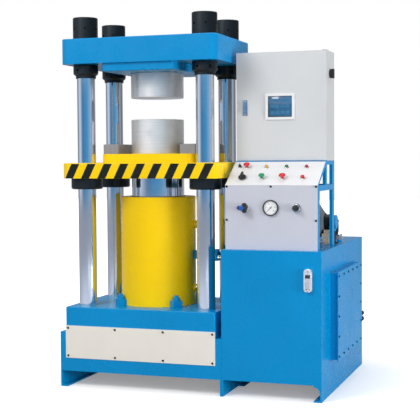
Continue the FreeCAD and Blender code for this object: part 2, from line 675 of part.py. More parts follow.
def motor_housing():
    """Finned motor body with feet, terminal box and fan cowl; the stator fills its wall."""
    fin_t, root = 3.0, 4.0
    shield_x = MOTOR_X1 - SHIELD_LEN
    shapes = [rod("x", (MOTOR_X0, MOTOR_Y, MOTOR_Z), MOTOR_LEN - SHIELD_LEN + 1, SHELL_R)]
    for step in range(FIN_COUNT):
        fin = box(MOTOR_X0 + FIN_END, shield_x + 1, -fin_t / 2, fin_t / 2, SHELL_R - root, MOTOR_R)
        turn = FreeCAD.Rotation(AXES["x"], 360 * step / FIN_COUNT)
        fin.Placement = FreeCAD.Placement(point(0, MOTOR_Y, MOTOR_Z), turn)
        shapes.append(fin)
    shapes.append(rod("x", (MOTOR_X0, MOTOR_Y, MOTOR_Z), FIN_END - 2, MOTOR_R))
    nose = point(shield_x, MOTOR_Y, MOTOR_Z)
    shapes.append(Part.makeCone(MOTOR_R - root, FLANGE_R, SHIELD_LEN, nose, AXES["x"]))
    shapes.append(rod("x", (MOTOR_X0 - COWL_LEN, MOTOR_Y, MOTOR_Z), COWL_LEN + 1, MOTOR_R - root))
    for side in (-1, 1):
        foot = sorted((MOTOR_Y + side * 40, MOTOR_Y + side * 88))
        shapes.append(box(MOTOR_X0 + 60, shield_x - 20, *foot, MOUNT_TOP, MOTOR_Z - SHELL_R / 2))
    box_x, box_half, box_low, box_high = MOTOR_X0 + 110, 45.0, 30.0, 34.0
    top = MOTOR_Z + MOTOR_R
    wide = (MOTOR_Y - box_half, MOTOR_Y + box_half)
    shapes.append(box(box_x, box_x + 2 * box_half, *wide, top - box_low, top + box_high))
    body = fuse(shapes)
    body = body.cut(rod("x", (MOTOR_X0 + 15, MOTOR_Y, MOTOR_Z), MOTOR_LEN - 45, STATOR_R - 12))
    body = body.cut(rod("x", (MOTOR_X0 - 5, MOTOR_Y, MOTOR_Z), MOTOR_LEN + 10, SHAFT_R + RUN_FIT))
    cowl = rod("x", (MOTOR_X0 - COWL_LEN + 2, MOTOR_Y, MOTOR_Z), COWL_LEN - 2, MOTOR_R - 8)
    return body.cut(cowl)


def motor_rotor():
    """Shaft with the rotor core, the coupling and the pump's drive shaft."""
    coupling_r, coupling_len, start_gap, fan_end = 33.0, 18.0, 4.0, 20.0
    shaft_len = MOTOR_LEN + COWL_LEN - fan_end + start_gap + 1
    shaft = rod("x", (MOTOR_X0 - COWL_LEN + fan_end, MOTOR_Y, MOTOR_Z), shaft_len, SHAFT_R)
    core = rod("x", (MOTOR_X0 + 50, MOTOR_Y, MOTOR_Z), MOTOR_LEN - 100, ROTOR_R)
    coupling = rod("x", (MOTOR_X1 + start_gap, MOTOR_Y, MOTOR_Z), coupling_len, coupling_r)
    drive = rod("x", (MOTOR_X1 + start_gap, MOTOR_Y, MOTOR_Z), BELL_LEN - start_gap - 4, DRIVE_R)
    return fuse([shaft, core, coupling, drive])


def cooling_fan():
    """Seven blades on a hub, inside the cowl."""
    blade_t, blades = 4.0, 7
    x0 = MOTOR_X0 - COWL_LEN + 22
    shapes = [rod("x", (x0, MOTOR_Y, MOTOR_Z), 26, SHAFT_R + 12)]
    for step in range(blades):
        blade = box(x0 + 2, x0 + 24, -blade_t / 2, blade_t / 2, SHAFT_R + 8, MOTOR_R - 18)
        turn = FreeCAD.Rotation(AXES["x"], 360 * step / blades)
        blade.Placement = FreeCAD.Placement(point(0, MOTOR_Y, MOTOR_Z), turn)
        shapes.append(blade)
    return fuse(shapes).cut(rod("x", (x0 - 1, MOTOR_Y, MOTOR_Z), 28, SHAFT_R + SEAT_FIT))


def bell_housing():
    flange_t = 3.0
    bell = rod("x", (MOTOR_X1, MOTOR_Y, MOTOR_Z), BELL_LEN, BELL_R)
    flange = rod("x", (MOTOR_X1, MOTOR_Y, MOTOR_Z), flange_t, FLANGE_R)
    bell = fuse([bell, flange])
    bell = bell.cut(rod("x", (MOTOR_X1 - 1, MOTOR_Y, MOTOR_Z), BELL_LEN - BELL_WALL + 1, BELL_R - BELL_WALL))
    return bell.cut(rod("x", (MOTOR_X1, MOTOR_Y, MOTOR_Z), BELL_LEN + 1, NOSE_R))


def pump():
    """Gear pump: round body on an oval-ended flange, its spigot in the bell's end wall."""
    flange_t, flange_half, flange_h = 12.0, 54.0, 40.0
    body = rod("x", (BELL_X1, MOTOR_Y, MOTOR_Z), PUMP_LEN, PUMP_R)
    flange = Part.makeBox(
        flange_t, 2 * flange_half, 2 * flange_h, point(BELL_X1, MOTOR_Y - flange_half, MOTOR_Z - flange_h)
    )
    nose = rod("x", (BELL_X1 - BELL_WALL, MOTOR_Y, MOTOR_Z), BELL_WALL + 1, NOSE_R - SEAT_FIT)
    inlet = rod("z", (SUCTION_X, MOTOR_Y, MOTOR_Z - PUMP_PORT), PUMP_PORT, PUMP_PORT_R)
    outlet = rod("y", (SUCTION_X, MOTOR_Y, MOTOR_Z), PUMP_PORT, PUMP_PORT_R)
    body = fuse([body, flange, nose, inlet, outlet])
    return body.cut(rod("x", (BELL_X1 - BELL_WALL - 1, MOTOR_Y, MOTOR_Z), BELL_WALL + 1, DRIVE_R + RUN_FIT))


def suction_line():
    """Pipe from the pump's inlet into the tank, with the strainer at its foot."""
    strainer_r, strainer_h, low = 34.0, 110.0, SKIRT_Z + 90.0
    pipe_top = MOTOR_Z - PUMP_PORT
    pipe = rod("z", (SUCTION_X, MOTOR_Y, low + strainer_h - 1), pipe_top - low - strainer_h + 1, SUCTION_R)
    strainer = rod("z", (SUCTION_X, MOTOR_Y, low), strainer_h, strainer_r)
    collar = rod("z", (SUCTION_X, MOTOR_Y, TANK_TOP), 10, SUCTION_R + 14)
    return fuse([pipe, strainer, collar])


BLOCK_X0, BLOCK_X1 = BARREL_R + 46.0, BARREL_R + 178.0
BLOCK_Y = 36.0
BLOCK_Z0 = 832.0
BLOCK_H = 76.0
PIPE_BEND = 34.0
PIPE_BACK = 105.0        # pressure pipe behind the motor's axis


def valve_block():
    """Manifold on a bracket at the cylinder's right side, with a valve on top."""
    block = box(BLOCK_X0, BLOCK_X1, -BLOCK_Y, BLOCK_Y, BLOCK_Z0, BLOCK_Z0 + BLOCK_H)
    bracket = box(BARREL_R - 6, BLOCK_X0 + 1, -20, 20, BLOCK_Z0 + 10, BLOCK_Z0 + BLOCK_H - 10)
    bracket = bracket.cut(rod("z", (0, 0, BLOCK_Z0), BLOCK_H, BARREL_R))
    return fuse([block, bracket])


def oil_pipes():
    """Steel pipes: pump to block, block to tank, and block to the cylinder's two ports."""
    port_x = BLOCK_X0 + 34.0
    pipe_x = (BED_X + TANK_X0) / 2 - 6
    top_z = TANK_TOP + 46
    back_y = MOTOR_Y + PIPE_BACK
    supply_z = BLOCK_Z0 + BLOCK_H - 20
    pressure = pipe_run([
        (SUCTION_X, MOTOR_Y + PUMP_PORT, MOTOR_Z), (SUCTION_X, back_y, MOTOR_Z), (SUCTION_X, back_y, top_z),
        (pipe_x, back_y, top_z), (pipe_x, back_y, supply_z), (pipe_x, BLOCK_Y / 2, supply_z),
        (BLOCK_X1, BLOCK_Y / 2, supply_z),
    ], PIPE_R, PIPE_BEND)
    tank_return = pipe_run([
        (BLOCK_X1, -BLOCK_Y / 2, BLOCK_Z0 + 20), (pipe_x - 20, -BLOCK_Y / 2, BLOCK_Z0 + 20),
        (pipe_x - 20, -BLOCK_Y / 2, BLOCK_Z0 - 110), (TANK_X0, -BLOCK_Y / 2, BLOCK_Z0 - 110),
    ], PIPE_R, PIPE_BEND)
    lower = pipe_run([
        (port_x, 0, BLOCK_Z0), (port_x, 0, PORT_LOW_Z), (PORT_BOSS_X, 0, PORT_LOW_Z),
    ], PIPE_R, PIPE_BEND)
    upper = pipe_run([
        (port_x, 0, BLOCK_Z0 + BLOCK_H), (port_x, 0, PORT_HIGH_Z), (PORT_BOSS_X, 0, PORT_HIGH_Z),
    ], PIPE_R, PIPE_BEND)
    return group([pressure, tank_return, lower, upper])


# ---------------------------------------------------------------- console

PANEL_HOLE_R = 21.0
GAUGE_HOLE_R = 40.0
GAUGE_R = 50.0
GAUGE_Z = PANEL_TOP - 142.0
LEFT_VALVE_X = PANEL_MID - 172.0
RIGHT_VALVE_X = PANEL_MID + 166.0
ROW_LOW = 76.0
ROW_HIGH = 203.0
BUTTON_X = [PANEL_X0 + 96.0, PANEL_MID - 74.0, PANEL_MID + 60.0, PANEL_X1 - 109.0]
KEY_X = PANEL_X0 + 49.0
HEAD_OUT = 24.0          # underside of the mushroom heads above the panel
BUTTON_HOLE_R = 11.0
STEM_R = 8.0
PIN_IN = 14.0            # pivot pins into the door
COLLAR_OUT = 15.0
COLLAR_UP = 7.0


def slope_spots():
    """Every hole in the sloped panel as (x, distance up the slope)."""
    spots = [(x, ROW_LOW) for x in BUTTON_X] + [(x, ROW_HIGH) for x in BUTTON_X]
    return spots + [(KEY_X, ROW_HIGH)]


def side_frame(x0):
    """One welded side of the console: posts, arm, beam and the bar under the sloped panel's edge."""
    x1 = x0 + POST_X
    front = PANEL_Y + PANEL_T
    back = CABINET_Y1
    top = CABINET_Z0
    mid = SLOPE_TOP_Y + PANEL_T
    under_sheet = SLOPE_TOP_Z - 2 * PANEL_T
    bars = [
        box(x0, x1, front, front + POST_Y, TANK_TOP, FRAME_TOP),
        box(x0, x1, back - POST_Y, back, TANK_TOP, top),
        box(x0, x1, front, back, FRAME_TOP - RAIL_Z, FRAME_TOP),
        box(x0, x1, mid, back, top - BEAM_Z, top),
        box(x0, x1, mid, mid + SHORT_POST_Y, FRAME_TOP - 1, top),
    ]
    outline = [
        point(x0, front, FRAME_TOP - 1), point(x0, mid, under_sheet),
        point(x0, mid, under_sheet - DIAGONAL_T), point(x0, front + DIAGONAL_T, FRAME_TOP - 1),
    ]
    diagonal = Part.Face(Part.makePolygon(outline + outline[:1])).extrude(point(POST_X, 0, 0))
    return fuse(bars + [diagonal])


def pivot_pin(z0, z1):
    return rod("z", (PIVOT_X, PIVOT_Y, z0), z1 - z0, PIVOT_R)


def console_side_frames():
    """Both welded sides; the door's lower pivot pin and its collar stand on the right one."""
    right = side_frame(PANEL_X1 - POST_X)
    collar = rod("z", (PIVOT_X, PIVOT_Y, CABINET_Z0 - 1), DOOR_GAP + 1 - RUN_FIT, PIVOT_R + 2)
    right = fuse([right, collar, pivot_pin(CABINET_Z0 - 1, CABINET_Z0 + PIN_IN)])
    return group([side_frame(PANEL_X0), right])


def console_cross_bars():
    """Square bars that join the two side frames."""
    left, right = PANEL_X0 + POST_X, PANEL_X1 - POST_X
    front = PANEL_Y + PANEL_T
    back = CABINET_Y1
    beam = CABINET_Z0 - BEAM_Z
    arm = FRAME_TOP - RAIL_Z
    places = [
        (front, TANK_TOP, RAIL_Z), (front, arm, RAIL_Z), (back - POST_X, arm, RAIL_Z),
        (back - POST_X, beam, BEAM_Z), (SLOPE_TOP_Y + POST_X / 2, beam, BEAM_Z),
    ]
    return group([box(left, right, y, y + POST_X, z, z + height) for y, z, height in places])


def gauge_panel():
    panel = box(PANEL_X0, PANEL_X1, PANEL_Y, PANEL_Y + PANEL_T, TANK_TOP, FRAME_TOP)
    for x, radius in ((LEFT_VALVE_X, PANEL_HOLE_R), (PANEL_MID, GAUGE_HOLE_R), (RIGHT_VALVE_X, PANEL_HOLE_R)):
        panel = panel.cut(rod("y", (x, PANEL_Y - 1, GAUGE_Z), PANEL_T + 2, radius + SEAT_FIT))
    return panel


def sloped_panel():
    """Button panel: a bent sheet that leans back from the gauge panel's top."""
    sheet = box(-PANEL_W / 2, PANEL_W / 2, 0, SLOPE_LEN, -PANEL_T, 0)
    for x, along in slope_spots():
        hole = rod("z", (x - PANEL_MID, along, -PANEL_T - 1), PANEL_T + 2, BUTTON_HOLE_R + SEAT_FIT)
        sheet = sheet.cut(hole)
    return on_slope(sheet, PANEL_MID, 0.0)


def button_collars():
    """Metal bezel and barrel of each push button, lamp and switch."""
    collars = []
    for x, along in slope_spots():
        ring = rod("z", (0, 0, 0), COLLAR_UP, COLLAR_OUT if x != KEY_X else COLLAR_OUT - 2)
        ring = soften(ring, COLLAR_UP, 1.5)
        barrel = rod("z", (0, 0, -34), 35, BUTTON_HOLE_R)
        body = fuse([ring, barrel]).cut(rod("z", (0, 0, -26), 40, STEM_R + 0.4))
        collars.append(on_slope(body, x, along))
    return group(collars)


def mushroom(head_r, x, along):
    """A mushroom push button: stem, waist and domed head."""
    head_h, waist_h, sunk = 12.0, 8.0, 12.0
    stem = rod("z", (0, 0, -sunk), HEAD_OUT + sunk + 1, STEM_R)
    waist = rod("z", (0, 0, HEAD_OUT - waist_h), waist_h + 1, STEM_R + 3)
    dome_r = head_r * 1.6
    ball = Part.makeSphere(dome_r, point(0, 0, HEAD_OUT + head_h - dome_r))
    head = rod("z", (0, 0, HEAD_OUT), head_h + 1, head_r).common(ball)
    return on_slope(fuse([stem, waist, head]), x, along)


def lamp(x):
    lens_r = 10.5
    lens = rod("z", (0, 0, COLLAR_UP), 12, lens_r)
    lens = soften(lens, COLLAR_UP + 12, 4.0)
    foot = rod("z", (0, 0, COLLAR_UP - 20), 21, STEM_R)
    return on_slope(fuse([lens, foot]), x, ROW_HIGH)


def emergency_stop():
    return mushroom(20.0, BUTTON_X[0], ROW_HIGH)


def start_button():
    return mushroom(19.0, BUTTON_X[1], ROW_LOW)


def stop_button():
    return mushroom(21.0, BUTTON_X[2], ROW_LOW)


def reset_button():
    head = rod("z", (0, 0, 12), 11, 12.5)
    head = soften(head, 23, 3.0)
    stem = rod("z", (0, 0, -12), 25, STEM_R)
    return on_slope(fuse([stem, head]), BUTTON_X[3], ROW_LOW)


def selector_knob():
    """Rotary selector: a round skirt with a tapered grip bar."""
    skirt = rod("z", (0, 0, COLLAR_UP + 0.5), 8, 25)
    grip = box(-7, 7, -23, 25, COLLAR_UP + 8, COLLAR_UP + 30)
    grip = grip.makeFillet(4.5, upright_edges(grip))
    stem = rod("z", (0, 0, -12), COLLAR_UP + 14, STEM_R)
    return on_slope(fuse([stem, skirt, grip]), BUTTON_X[0], ROW_LOW)


def key_switch():
    knob = rod("z", (0, 0, COLLAR_UP + 0.5), 11, 9.5)
    bow = box(-2.5, 2.5, -8, 8, COLLAR_UP + 11, COLLAR_UP + 20)
    stem = rod("z", (0, 0, -12), COLLAR_UP + 14, STEM_R)
    return on_slope(fuse([stem, knob, bow]), KEY_X, ROW_HIGH)


def pressure_gauge():
    """Gauge case in the panel with a bezel round a recessed dial."""
    case = rod("z", (0, 0, -46), 47, GAUGE_HOLE_R)
    bezel = soften(rod("z", (0, 0, 0), 12, GAUGE_R), 12, 2.0)
    body = fuse([case, bezel]).cut(rod("z", (0, 0, 5), 10, GAUGE_R - 6))
    stem = rod("z", (0, 0, -76), 31, 9)
    post = rod("z", (0, 0, 4), 5, 2.0)
    return on_front(fuse([body, stem, post]), PANEL_MID, GAUGE_Z)


def gauge_needle():
    """Pointer on the dial's post, at the scale's lower left end at rest."""
    blade = Part.Face(Part.makePolygon([
        point(-12, -2.4, 6), point(32, -0.7, 6), point(32, 0.7, 6), point(-12, 2.4, 6), point(-12, -2.4, 6),
    ])).extrude(point(0, 0, 1.2))
    hub = rod("z", (0, 0, 6), 3.5, 5.0)
    needle = fuse([blade, hub]).cut(rod("z", (0, 0, 0), 20, 2.0 + RUN_FIT))
    needle.rotate(point(0, 0, 0), AXES["z"], 225)
    return on_front(group([needle]), PANEL_MID, GAUGE_Z)


def panel_valves():
    """Two needle valves held in the gauge panel: body behind, threaded neck and nut in front."""
    valves = []
    for x in (LEFT_VALVE_X, RIGHT_VALVE_X):
        body = box(-24, 24, -24, 24, -80, -PANEL_T - 6)
        neck = rod("z", (0, 0, -PANEL_T - 7), PANEL_T + 20, PANEL_HOLE_R)
        nut = soften(rod("z", (0, 0, 0), 9, 27), 9, 2.0)
        valve = fuse([body, neck, nut]).cut(rod("z", (0, 0, -40), 60, 7 + GAP / 2))
        valves.append(on_front(valve, x, GAUGE_Z))
    return group(valves)


def left_valve_knob():
    """Three-lobed hand knob on its stem."""
    hub_out, hub_r, lobe_r, lobe_at, lobe_h = 24.0, 17.0, 13.0, 22.0, 22.0
    shapes = [rod("z", (0, 0, -34), hub_out + 35, 7), rod("z", (0, 0, hub_out), lobe_h + 12, hub_r)]
    for step in range(3):
        angle = math.radians(60 + 120 * step)
        spot = (lobe_at * math.cos(angle), lobe_at * math.sin(angle), hub_out + 6)
        shapes.append(rod("z", spot, lobe_h, lobe_r))
    return on_front(fuse(shapes), LEFT_VALVE_X, GAUGE_Z)


def right_valve_knob():
    """Round knurled hand knob on a plain sleeve."""
    stem = rod("z", (0, 0, -34), 52, 7)
    sleeve = rod("z", (0, 0, 15), 18, 18)
    knob = soften(rod("z", (0, 0, 32), 26, 13), 58, 3.0)
    return on_front(fuse([stem, sleeve, knob]), RIGHT_VALVE_X, GAUGE_Z)


# ---------------------------------------------------------------- switch cabinet

HMI_X0, HMI_X1 = PANEL_MID - 102.0, PANEL_MID + 92.0
HMI_Z0, HMI_Z1 = CABINET_Z0 + 266.0, CABINET_Z0 + 436.0
HMI_FRAME = 17.0
HMI_WINDOW = 13.0
LOCK_X0, LOCK_X1 = PANEL_X0 + 43.0, PANEL_X0 + 75.0
LOCK_Z0, LOCK_Z1 = CABINET_Z0 + 295.0, CABINET_Z0 + 397.0
LOCK_X = (LOCK_X0 + LOCK_X1) / 2
LOCK_Z = LOCK_Z0 + 26.0
SWITCH_Y = CABINET_Y0 + 80.0
SWITCH_Z = CABINET_Z1 - 146.0


def cabinet_box(inset, y0, y1):
    """A box as wide and high as the cabinet, this far inside its outline."""
    return box(PANEL_X0 + inset, PANEL_X1 - inset, y0, y1, CABINET_Z0 + inset, CABINET_Z1 - inset)


def cabinet_shell():
    """Folded sheet box with a lip round its open front, and the door's upper pivot on a plate on top."""
    lip, plate_t, plate_w, plate_back = 14.0, 3.0, 30.0, 40.0
    shell = cabinet_box(0, CABINET_Y0, CABINET_Y1)
    shell = shell.cut(cabinet_box(SHEET_T, CABINET_Y0 + SHEET_T, CABINET_Y1 - SHEET_T))
    shell = shell.cut(cabinet_box(lip, CABINET_Y0 - 1, CABINET_Y0 + SHEET_T + 1))
    shell = shell.cut(rod("x", (PANEL_X1 - 5, SWITCH_Y, SWITCH_Z), 10, STEM_R + GAP))
    deep = (PIVOT_Y - 2 * PIVOT_R, CABINET_Y0 + plate_back)
    plate = box(PANEL_X1 - plate_w, PANEL_X1, *deep, CABINET_Z1, CABINET_Z1 + plate_t)
    return fuse([shell, plate, pivot_pin(CABINET_Z1 - PIN_IN, CABINET_Z1 + 1)])


def mounting_plate():
    inset, stand = 40.0, 22.0
    back = CABINET_Y1 - SHEET_T
    plate = cabinet_box(inset, back - stand, back - stand + SHEET_T)
    studs = []
    for x in (PANEL_X0 + inset + 20, PANEL_X1 - inset - 20):
        for z in (CABINET_Z0 + inset + 20, CABINET_Z1 - inset - 20):
            studs.append(rod("y", (x, back - stand + 1, z), stand - 1, 6))
    return fuse([plate] + studs)


def switchgear():
    """Breakers, contactors, controller and terminal strips in three rows on the mounting plate."""
    plate_y = CABINET_Y1 - SHEET_T - 22.0
    rows = ((540.0, 90.0, 45.0, 9), (350.0, 84.0, 54.0, 7), (130.0, 50.0, 34.0, 12))
    devices = []
    for lift, height, pitch, count in rows:
        z0 = CABINET_Z0 + lift
        for step in range(count):
            x0 = PANEL_X0 + 70 + step * pitch
            depth = 62.0 - 8 * (step % 3)
            devices.append(box(x0, x0 + pitch - 3, plate_y - depth, plate_y, z0, z0 + height))
    return group(devices)


def screen_box(inset, y0, y1):
    """A box as wide and high as the touch panel's bezel, this far inside its outline."""
    return box(HMI_X0 + inset, HMI_X1 - inset, y0, y1, HMI_Z0 + inset, HMI_Z1 - inset)


def door_box(inset, y0, y1):
    """A box as wide and high as the door, this far inside its outline."""
    low = CABINET_Z0 + DOOR_GAP + inset
    return box(PANEL_X0 + inset, PANEL_X1 - inset, y0, y1, low, CABINET_Z1 - DOOR_GAP - inset)


def cabinet_door():
    """Door pan: flat face with folded edges, pivot holes and a cut-out for the touch panel."""
    door = door_box(0, DOOR_Y, DOOR_Y + DOOR_D)
    door = door.cut(door_box(SHEET_T, DOOR_Y + SHEET_T, DOOR_Y + DOOR_D + 1))
    door = door.cut(screen_box(HMI_WINDOW, DOOR_Y - 1, DOOR_Y + SHEET_T + 1))
    door = door.cut(rod("z", (PIVOT_X, PIVOT_Y, CABINET_Z0), CABINET_H, PIVOT_R + RUN_FIT))
    return door.cut(rod("y", (LOCK_X, DOOR_Y - 1, LOCK_Z), SHEET_T + 2, STEM_R + GAP))


def touch_panel():
    """Operator screen: proud bezel round a slightly sunk screen, with its case behind the door."""
    proud, behind, sunk = 8.0, 34.0, 2.0
    bezel = screen_box(0, DOOR_Y - proud, DOOR_Y)
    case = screen_box(HMI_WINDOW + SEAT_FIT, DOOR_Y - 1, DOOR_Y + behind)
    screen = screen_box(HMI_FRAME, DOOR_Y - proud - 1, DOOR_Y - proud + sunk)
    return fuse([bezel, case]).cut(screen)


def lock_plate():
    plate = box(LOCK_X0, LOCK_X1, DOOR_Y - 4, DOOR_Y, LOCK_Z0, LOCK_Z1)
    return plate.cut(rod("y", (LOCK_X, DOOR_Y - 5, LOCK_Z), 6, STEM_R + GAP))


def lock_handle():
    """Flat lever over the lock plate; a quarter turn takes its cam behind the cabinet's left lip."""
    cam_y, cam_t, cam_len = CABINET_Y0 + SHEET_T + 3 * GAP, 3.0, 50.0
    lever = box(LOCK_X - 9, LOCK_X + 9, DOOR_Y - 16, DOOR_Y - 5, LOCK_Z - 10, LOCK_Z1 - 10)
    spindle = rod("y", (LOCK_X, DOOR_Y - 6, LOCK_Z), cam_y + cam_t + 1 - DOOR_Y + 6, STEM_R)
    cam = box(LOCK_X - 10, LOCK_X + 10, cam_y, cam_y + cam_t, LOCK_Z - cam_len, LOCK_Z + 9)
    return fuse([lever, spindle, cam])


def disconnect_switch():
    """Rotary main switch on the cabinet's side, with its spindle through the wall."""
    knob = rod("x", (PANEL_X1 + 5, SWITCH_Y, SWITCH_Z), 8, 30)
    grip = box(PANEL_X1 + 12, PANEL_X1 + 30, SWITCH_Y - 9, SWITCH_Y + 9, SWITCH_Z - 30, SWITCH_Z + 30)
    spindle = rod("x", (PANEL_X1 - 30, SWITCH_Y, SWITCH_Z), 36, STEM_R)
    return fuse([knob, grip, spindle])


# ---------------------------------------------------------------- export

def lamp_amber():
    return lamp(BUTTON_X[1])


def lamp_green():
    return lamp(BUTTON_X[2])


def lamp_red():
    return lamp(BUTTON_X[3])


BUILDERS = [
    base_frame, bolster, crosshead, columns, column_nuts, crosshead_nuts, upper_die,
    cylinder_barrel, cylinder_gland, wiper_ring, cylinder_clamps,
    ram, platen, guide_bushes, riser_plate, die_side_bars, lower_die,
    base_front_cover, cover_screws, oil_tank, tank_side_cover, level_gauge, tank_rear_ports, filler_cap,
    motor_mount, motor_housing, motor_rotor, cooling_fan, bell_housing, pump, suction_line,
    valve_block, oil_pipes,
    console_side_frames, console_cross_bars, gauge_panel, sloped_panel, button_collars,
    lamp_amber, lamp_green, lamp_red,
    emergency_stop, start_button, stop_button, reset_button, selector_knob, key_switch,
    pressure_gauge, gauge_needle, panel_valves, left_valve_knob, right_valve_knob,
    cabinet_shell, mounting_plate, switchgear, cabinet_door, touch_panel, lock_plate, lock_handle,
    disconnect_switch,
]


def machine_shift(shapes):
    """The move that puts the origin under the middle of the whole machine."""
    bounds = FreeCAD.BoundBox()
    for shape in shapes.values():
        bounds.add(shape.BoundBox)
    return point(-(bounds.XMin + bounds.XMax) / 2, -(bounds.YMin + bounds.YMax) / 2, 0)


def export(shapes):
    os.makedirs("parts", exist_ok=True)
    shift = machine_shift(shapes)
    for name, shape in shapes.items():
        moved = shape.copy()
        moved.translate(shift)
        moved.exportStep("parts/" + name + ".step")


SHAPES = {build.__name__: build() for build in BUILDERS}
export(SHAPES)
print(len(SHAPES), "pieces written; machine shift", machine_shift(SHAPES))
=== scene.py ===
# %% [markdown]
# # A four-column hydraulic press
# This press squeezes a workpiece between two round dies. A ram in the yellow cylinder lifts the
# striped table along four chromed columns, and a blue oil tank beside it carries the console, the
# motor and pump, and the switch cabinet. The shapes that carry load come ready from the CAD model.
# This lesson gives every surface its finish, and models the small pieces that make a machine look
# real: screws with their sockets, the dial behind its glass, pipe fittings, seals and weld beads.
#
# The CAD model is loaded first, because each new piece takes its place from it and rides on one of
# its bodies, so that it moves when the machine moves.

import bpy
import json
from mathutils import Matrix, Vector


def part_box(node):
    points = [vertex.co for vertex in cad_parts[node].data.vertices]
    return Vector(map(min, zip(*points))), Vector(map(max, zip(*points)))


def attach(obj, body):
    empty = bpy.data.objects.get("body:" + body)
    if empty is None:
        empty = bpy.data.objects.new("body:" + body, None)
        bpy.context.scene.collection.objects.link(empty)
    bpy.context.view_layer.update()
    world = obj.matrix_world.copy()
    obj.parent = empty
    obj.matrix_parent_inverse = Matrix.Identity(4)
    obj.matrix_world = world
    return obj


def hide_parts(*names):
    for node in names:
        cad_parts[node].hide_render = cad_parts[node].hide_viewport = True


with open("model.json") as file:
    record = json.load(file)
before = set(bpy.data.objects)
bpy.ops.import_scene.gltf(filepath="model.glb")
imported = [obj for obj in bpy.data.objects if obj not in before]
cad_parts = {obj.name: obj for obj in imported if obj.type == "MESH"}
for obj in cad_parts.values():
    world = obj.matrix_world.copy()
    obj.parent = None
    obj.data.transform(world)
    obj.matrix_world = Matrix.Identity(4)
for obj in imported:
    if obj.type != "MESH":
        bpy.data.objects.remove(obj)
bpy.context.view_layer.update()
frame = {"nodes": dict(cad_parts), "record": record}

# %% The modules that the lesson uses
import json
import math
import random

import bmesh
import bpy
from mathutils import Matrix, Vector

MM = 0.001  # metres in a millimetre
scene = bpy.context.scene

# %% [markdown]
# ## Camera
# A machine this size is photographed from several metres away with a long lens, so that its
# upright lines stay almost parallel. The camera stands at chest height, to the right of the
# middle, and is turned a little to the left. Its place could be set by eye in the viewport. Here
# three turns in a row are written out, because each of them has a plain meaning: turn about the
# upright axis, tip down, and roll.

# %% Camera
CAMERA_SPOT = Vector((2.3392, -7.2503, 1.5268))
CAMERA_TURN = 0.3238
CAMERA_TIP = 0.0487
CAMERA_ROLL = -0.0064
LENS_MM = 93.6
SENSOR_MM = 36.0
SIGHT_M = 100.0

camera_data = bpy.data.cameras.new("camera")
camera_data.lens = LENS_MM
camera_data.sensor_width = SENSOR_MM
camera_data.clip_end = SIGHT_M
camera = bpy.data.objects.new("camera", camera_data)
scene.collection.objects.link(camera)
aim = Matrix.Rotation(CAMERA_TURN, 4, "Z") @ Matrix.Rotation(math.pi / 2 - CAMERA_TIP, 4, "X")
camera.matrix_world = Matrix.Translation(CAMERA_SPOT) @ aim @ Matrix.Rotation(CAMERA_ROLL, 4, "Z")
scene.camera = camera
print("camera", LENS_MM, "mm lens at", [round(v, 2) for v in CAMERA_SPOT])

# %% [markdown]
# ## Node trees
# A shader is a small network of nodes, and most steps in it are one of three: map a value onto a
# new range, mix two colours, or do one sum. They are usually clicked together in the shader
# editor. Here a short function makes each step, so that a whole finish reads as a few lines.

# %% Tools for node trees
def new_finish(name):
    """A material with its node tree and its Principled shader."""
    finish = bpy.data.materials.new(name)
    finish.use_nodes = True
    tree = finish.node_tree
    return finish, tree, tree.nodes["Principled BSDF"]


def spread(tree, value, low, high, start=0.3, end=0.7):
    """Maps a value's range, from start to end, onto low to high."""
    node = tree.nodes.new("ShaderNodeMapRange")
    node.inputs["From Min"].default_value = start
    node.inputs["From Max"].default_value = end
    node.inputs["To Min"].default_value = low
    node.inputs["To Max"].default_value = high
    tree.links.new(value, node.inputs["Value"])
    return node.outputs["Result"]


def two_tones(tree, share, first, second):
    """Mixes two colours, each a colour triple or a node's output, by a share from 0 to 1."""
    node = tree.nodes.new("ShaderNodeMix")
    node.data_type = "RGBA"
    tree.links.new(share, node.inputs["Factor"])
    for socket, colour in (("A", first), ("B", second)):
        if isinstance(colour, tuple):
            node.inputs[socket].default_value = (*colour, 1)
        else:
            tree.links.new(colour, node.inputs[socket])
    return node.outputs["Result"]


def maths(tree, operation, first, second=0.0, clamp=False):
    """One Math node; each side is a number or a node's output."""
    node = tree.nodes.new("ShaderNodeMath")
    node.operation = operation
    node.use_clamp = clamp
    for socket, value in zip(node.inputs, (first, second)):
        if isinstance(value, (int, float)):
            socket.default_value = value
        else:
            tree.links.new(value, socket)
    return node.outputs["Value"]


def by_ray(tree, colour, faces):
    """Swaps a colour for another on some kinds of ray; faces are (ray, colour) pairs."""
    rays = tree.nodes.new("ShaderNodeLightPath")
    for ray, other in faces:
        colour = two_tones(tree, rays.outputs[ray], colour, other)
    return colour


def grey(value):
    """A colour triple without a hue."""
    return (value, value, value)


print("node tools ready")

# %% [markdown]
# ## Floor and light
# A product studio has a white floor and large soft lamps. Two things are wanted at once that a
# real studio cannot give: a floor that looks pure white, and dark undersides, as if little light
# came back from it. In a real studio, the picture would be retouched. Here the floor's colour is
# told apart by ray. The camera sees it nearly white, polished metal mirrors it as a pale blue, and
# the rest of the machine gets little light from it. A glow that only the camera sees grows with
# distance, so the floor keeps the machine's shadow and still meets the white backdrop without a
# line.
#
# Chrome has no colour of its own: it shows what stands round it. So the sky is told apart by ray
# too. Straight on it is white, as a light it is an even grey, and in reflections it is two rings
# of coloured bands by compass direction. The lower ring is blue behind the photographer, pale at
# both sides and dark beyond. The upper ring is a bright ceiling over the operator that darkens to
# the right. Painted boards could give the same bands, but they would stand in the way of other
# views.

# %% A white floor that gives little light back
FLOOR_HALF = 30.0
FLOOR_SEEN, FLOOR_GIVEN = 0.95, 0.20
FLOOR_MIRRORED = (0.56, 0.62, 0.76)
LIFT_START, LIFT_END = 1.2, 4.0
LIFT_NEAR, LIFT_FAR = 0.26, 0.95

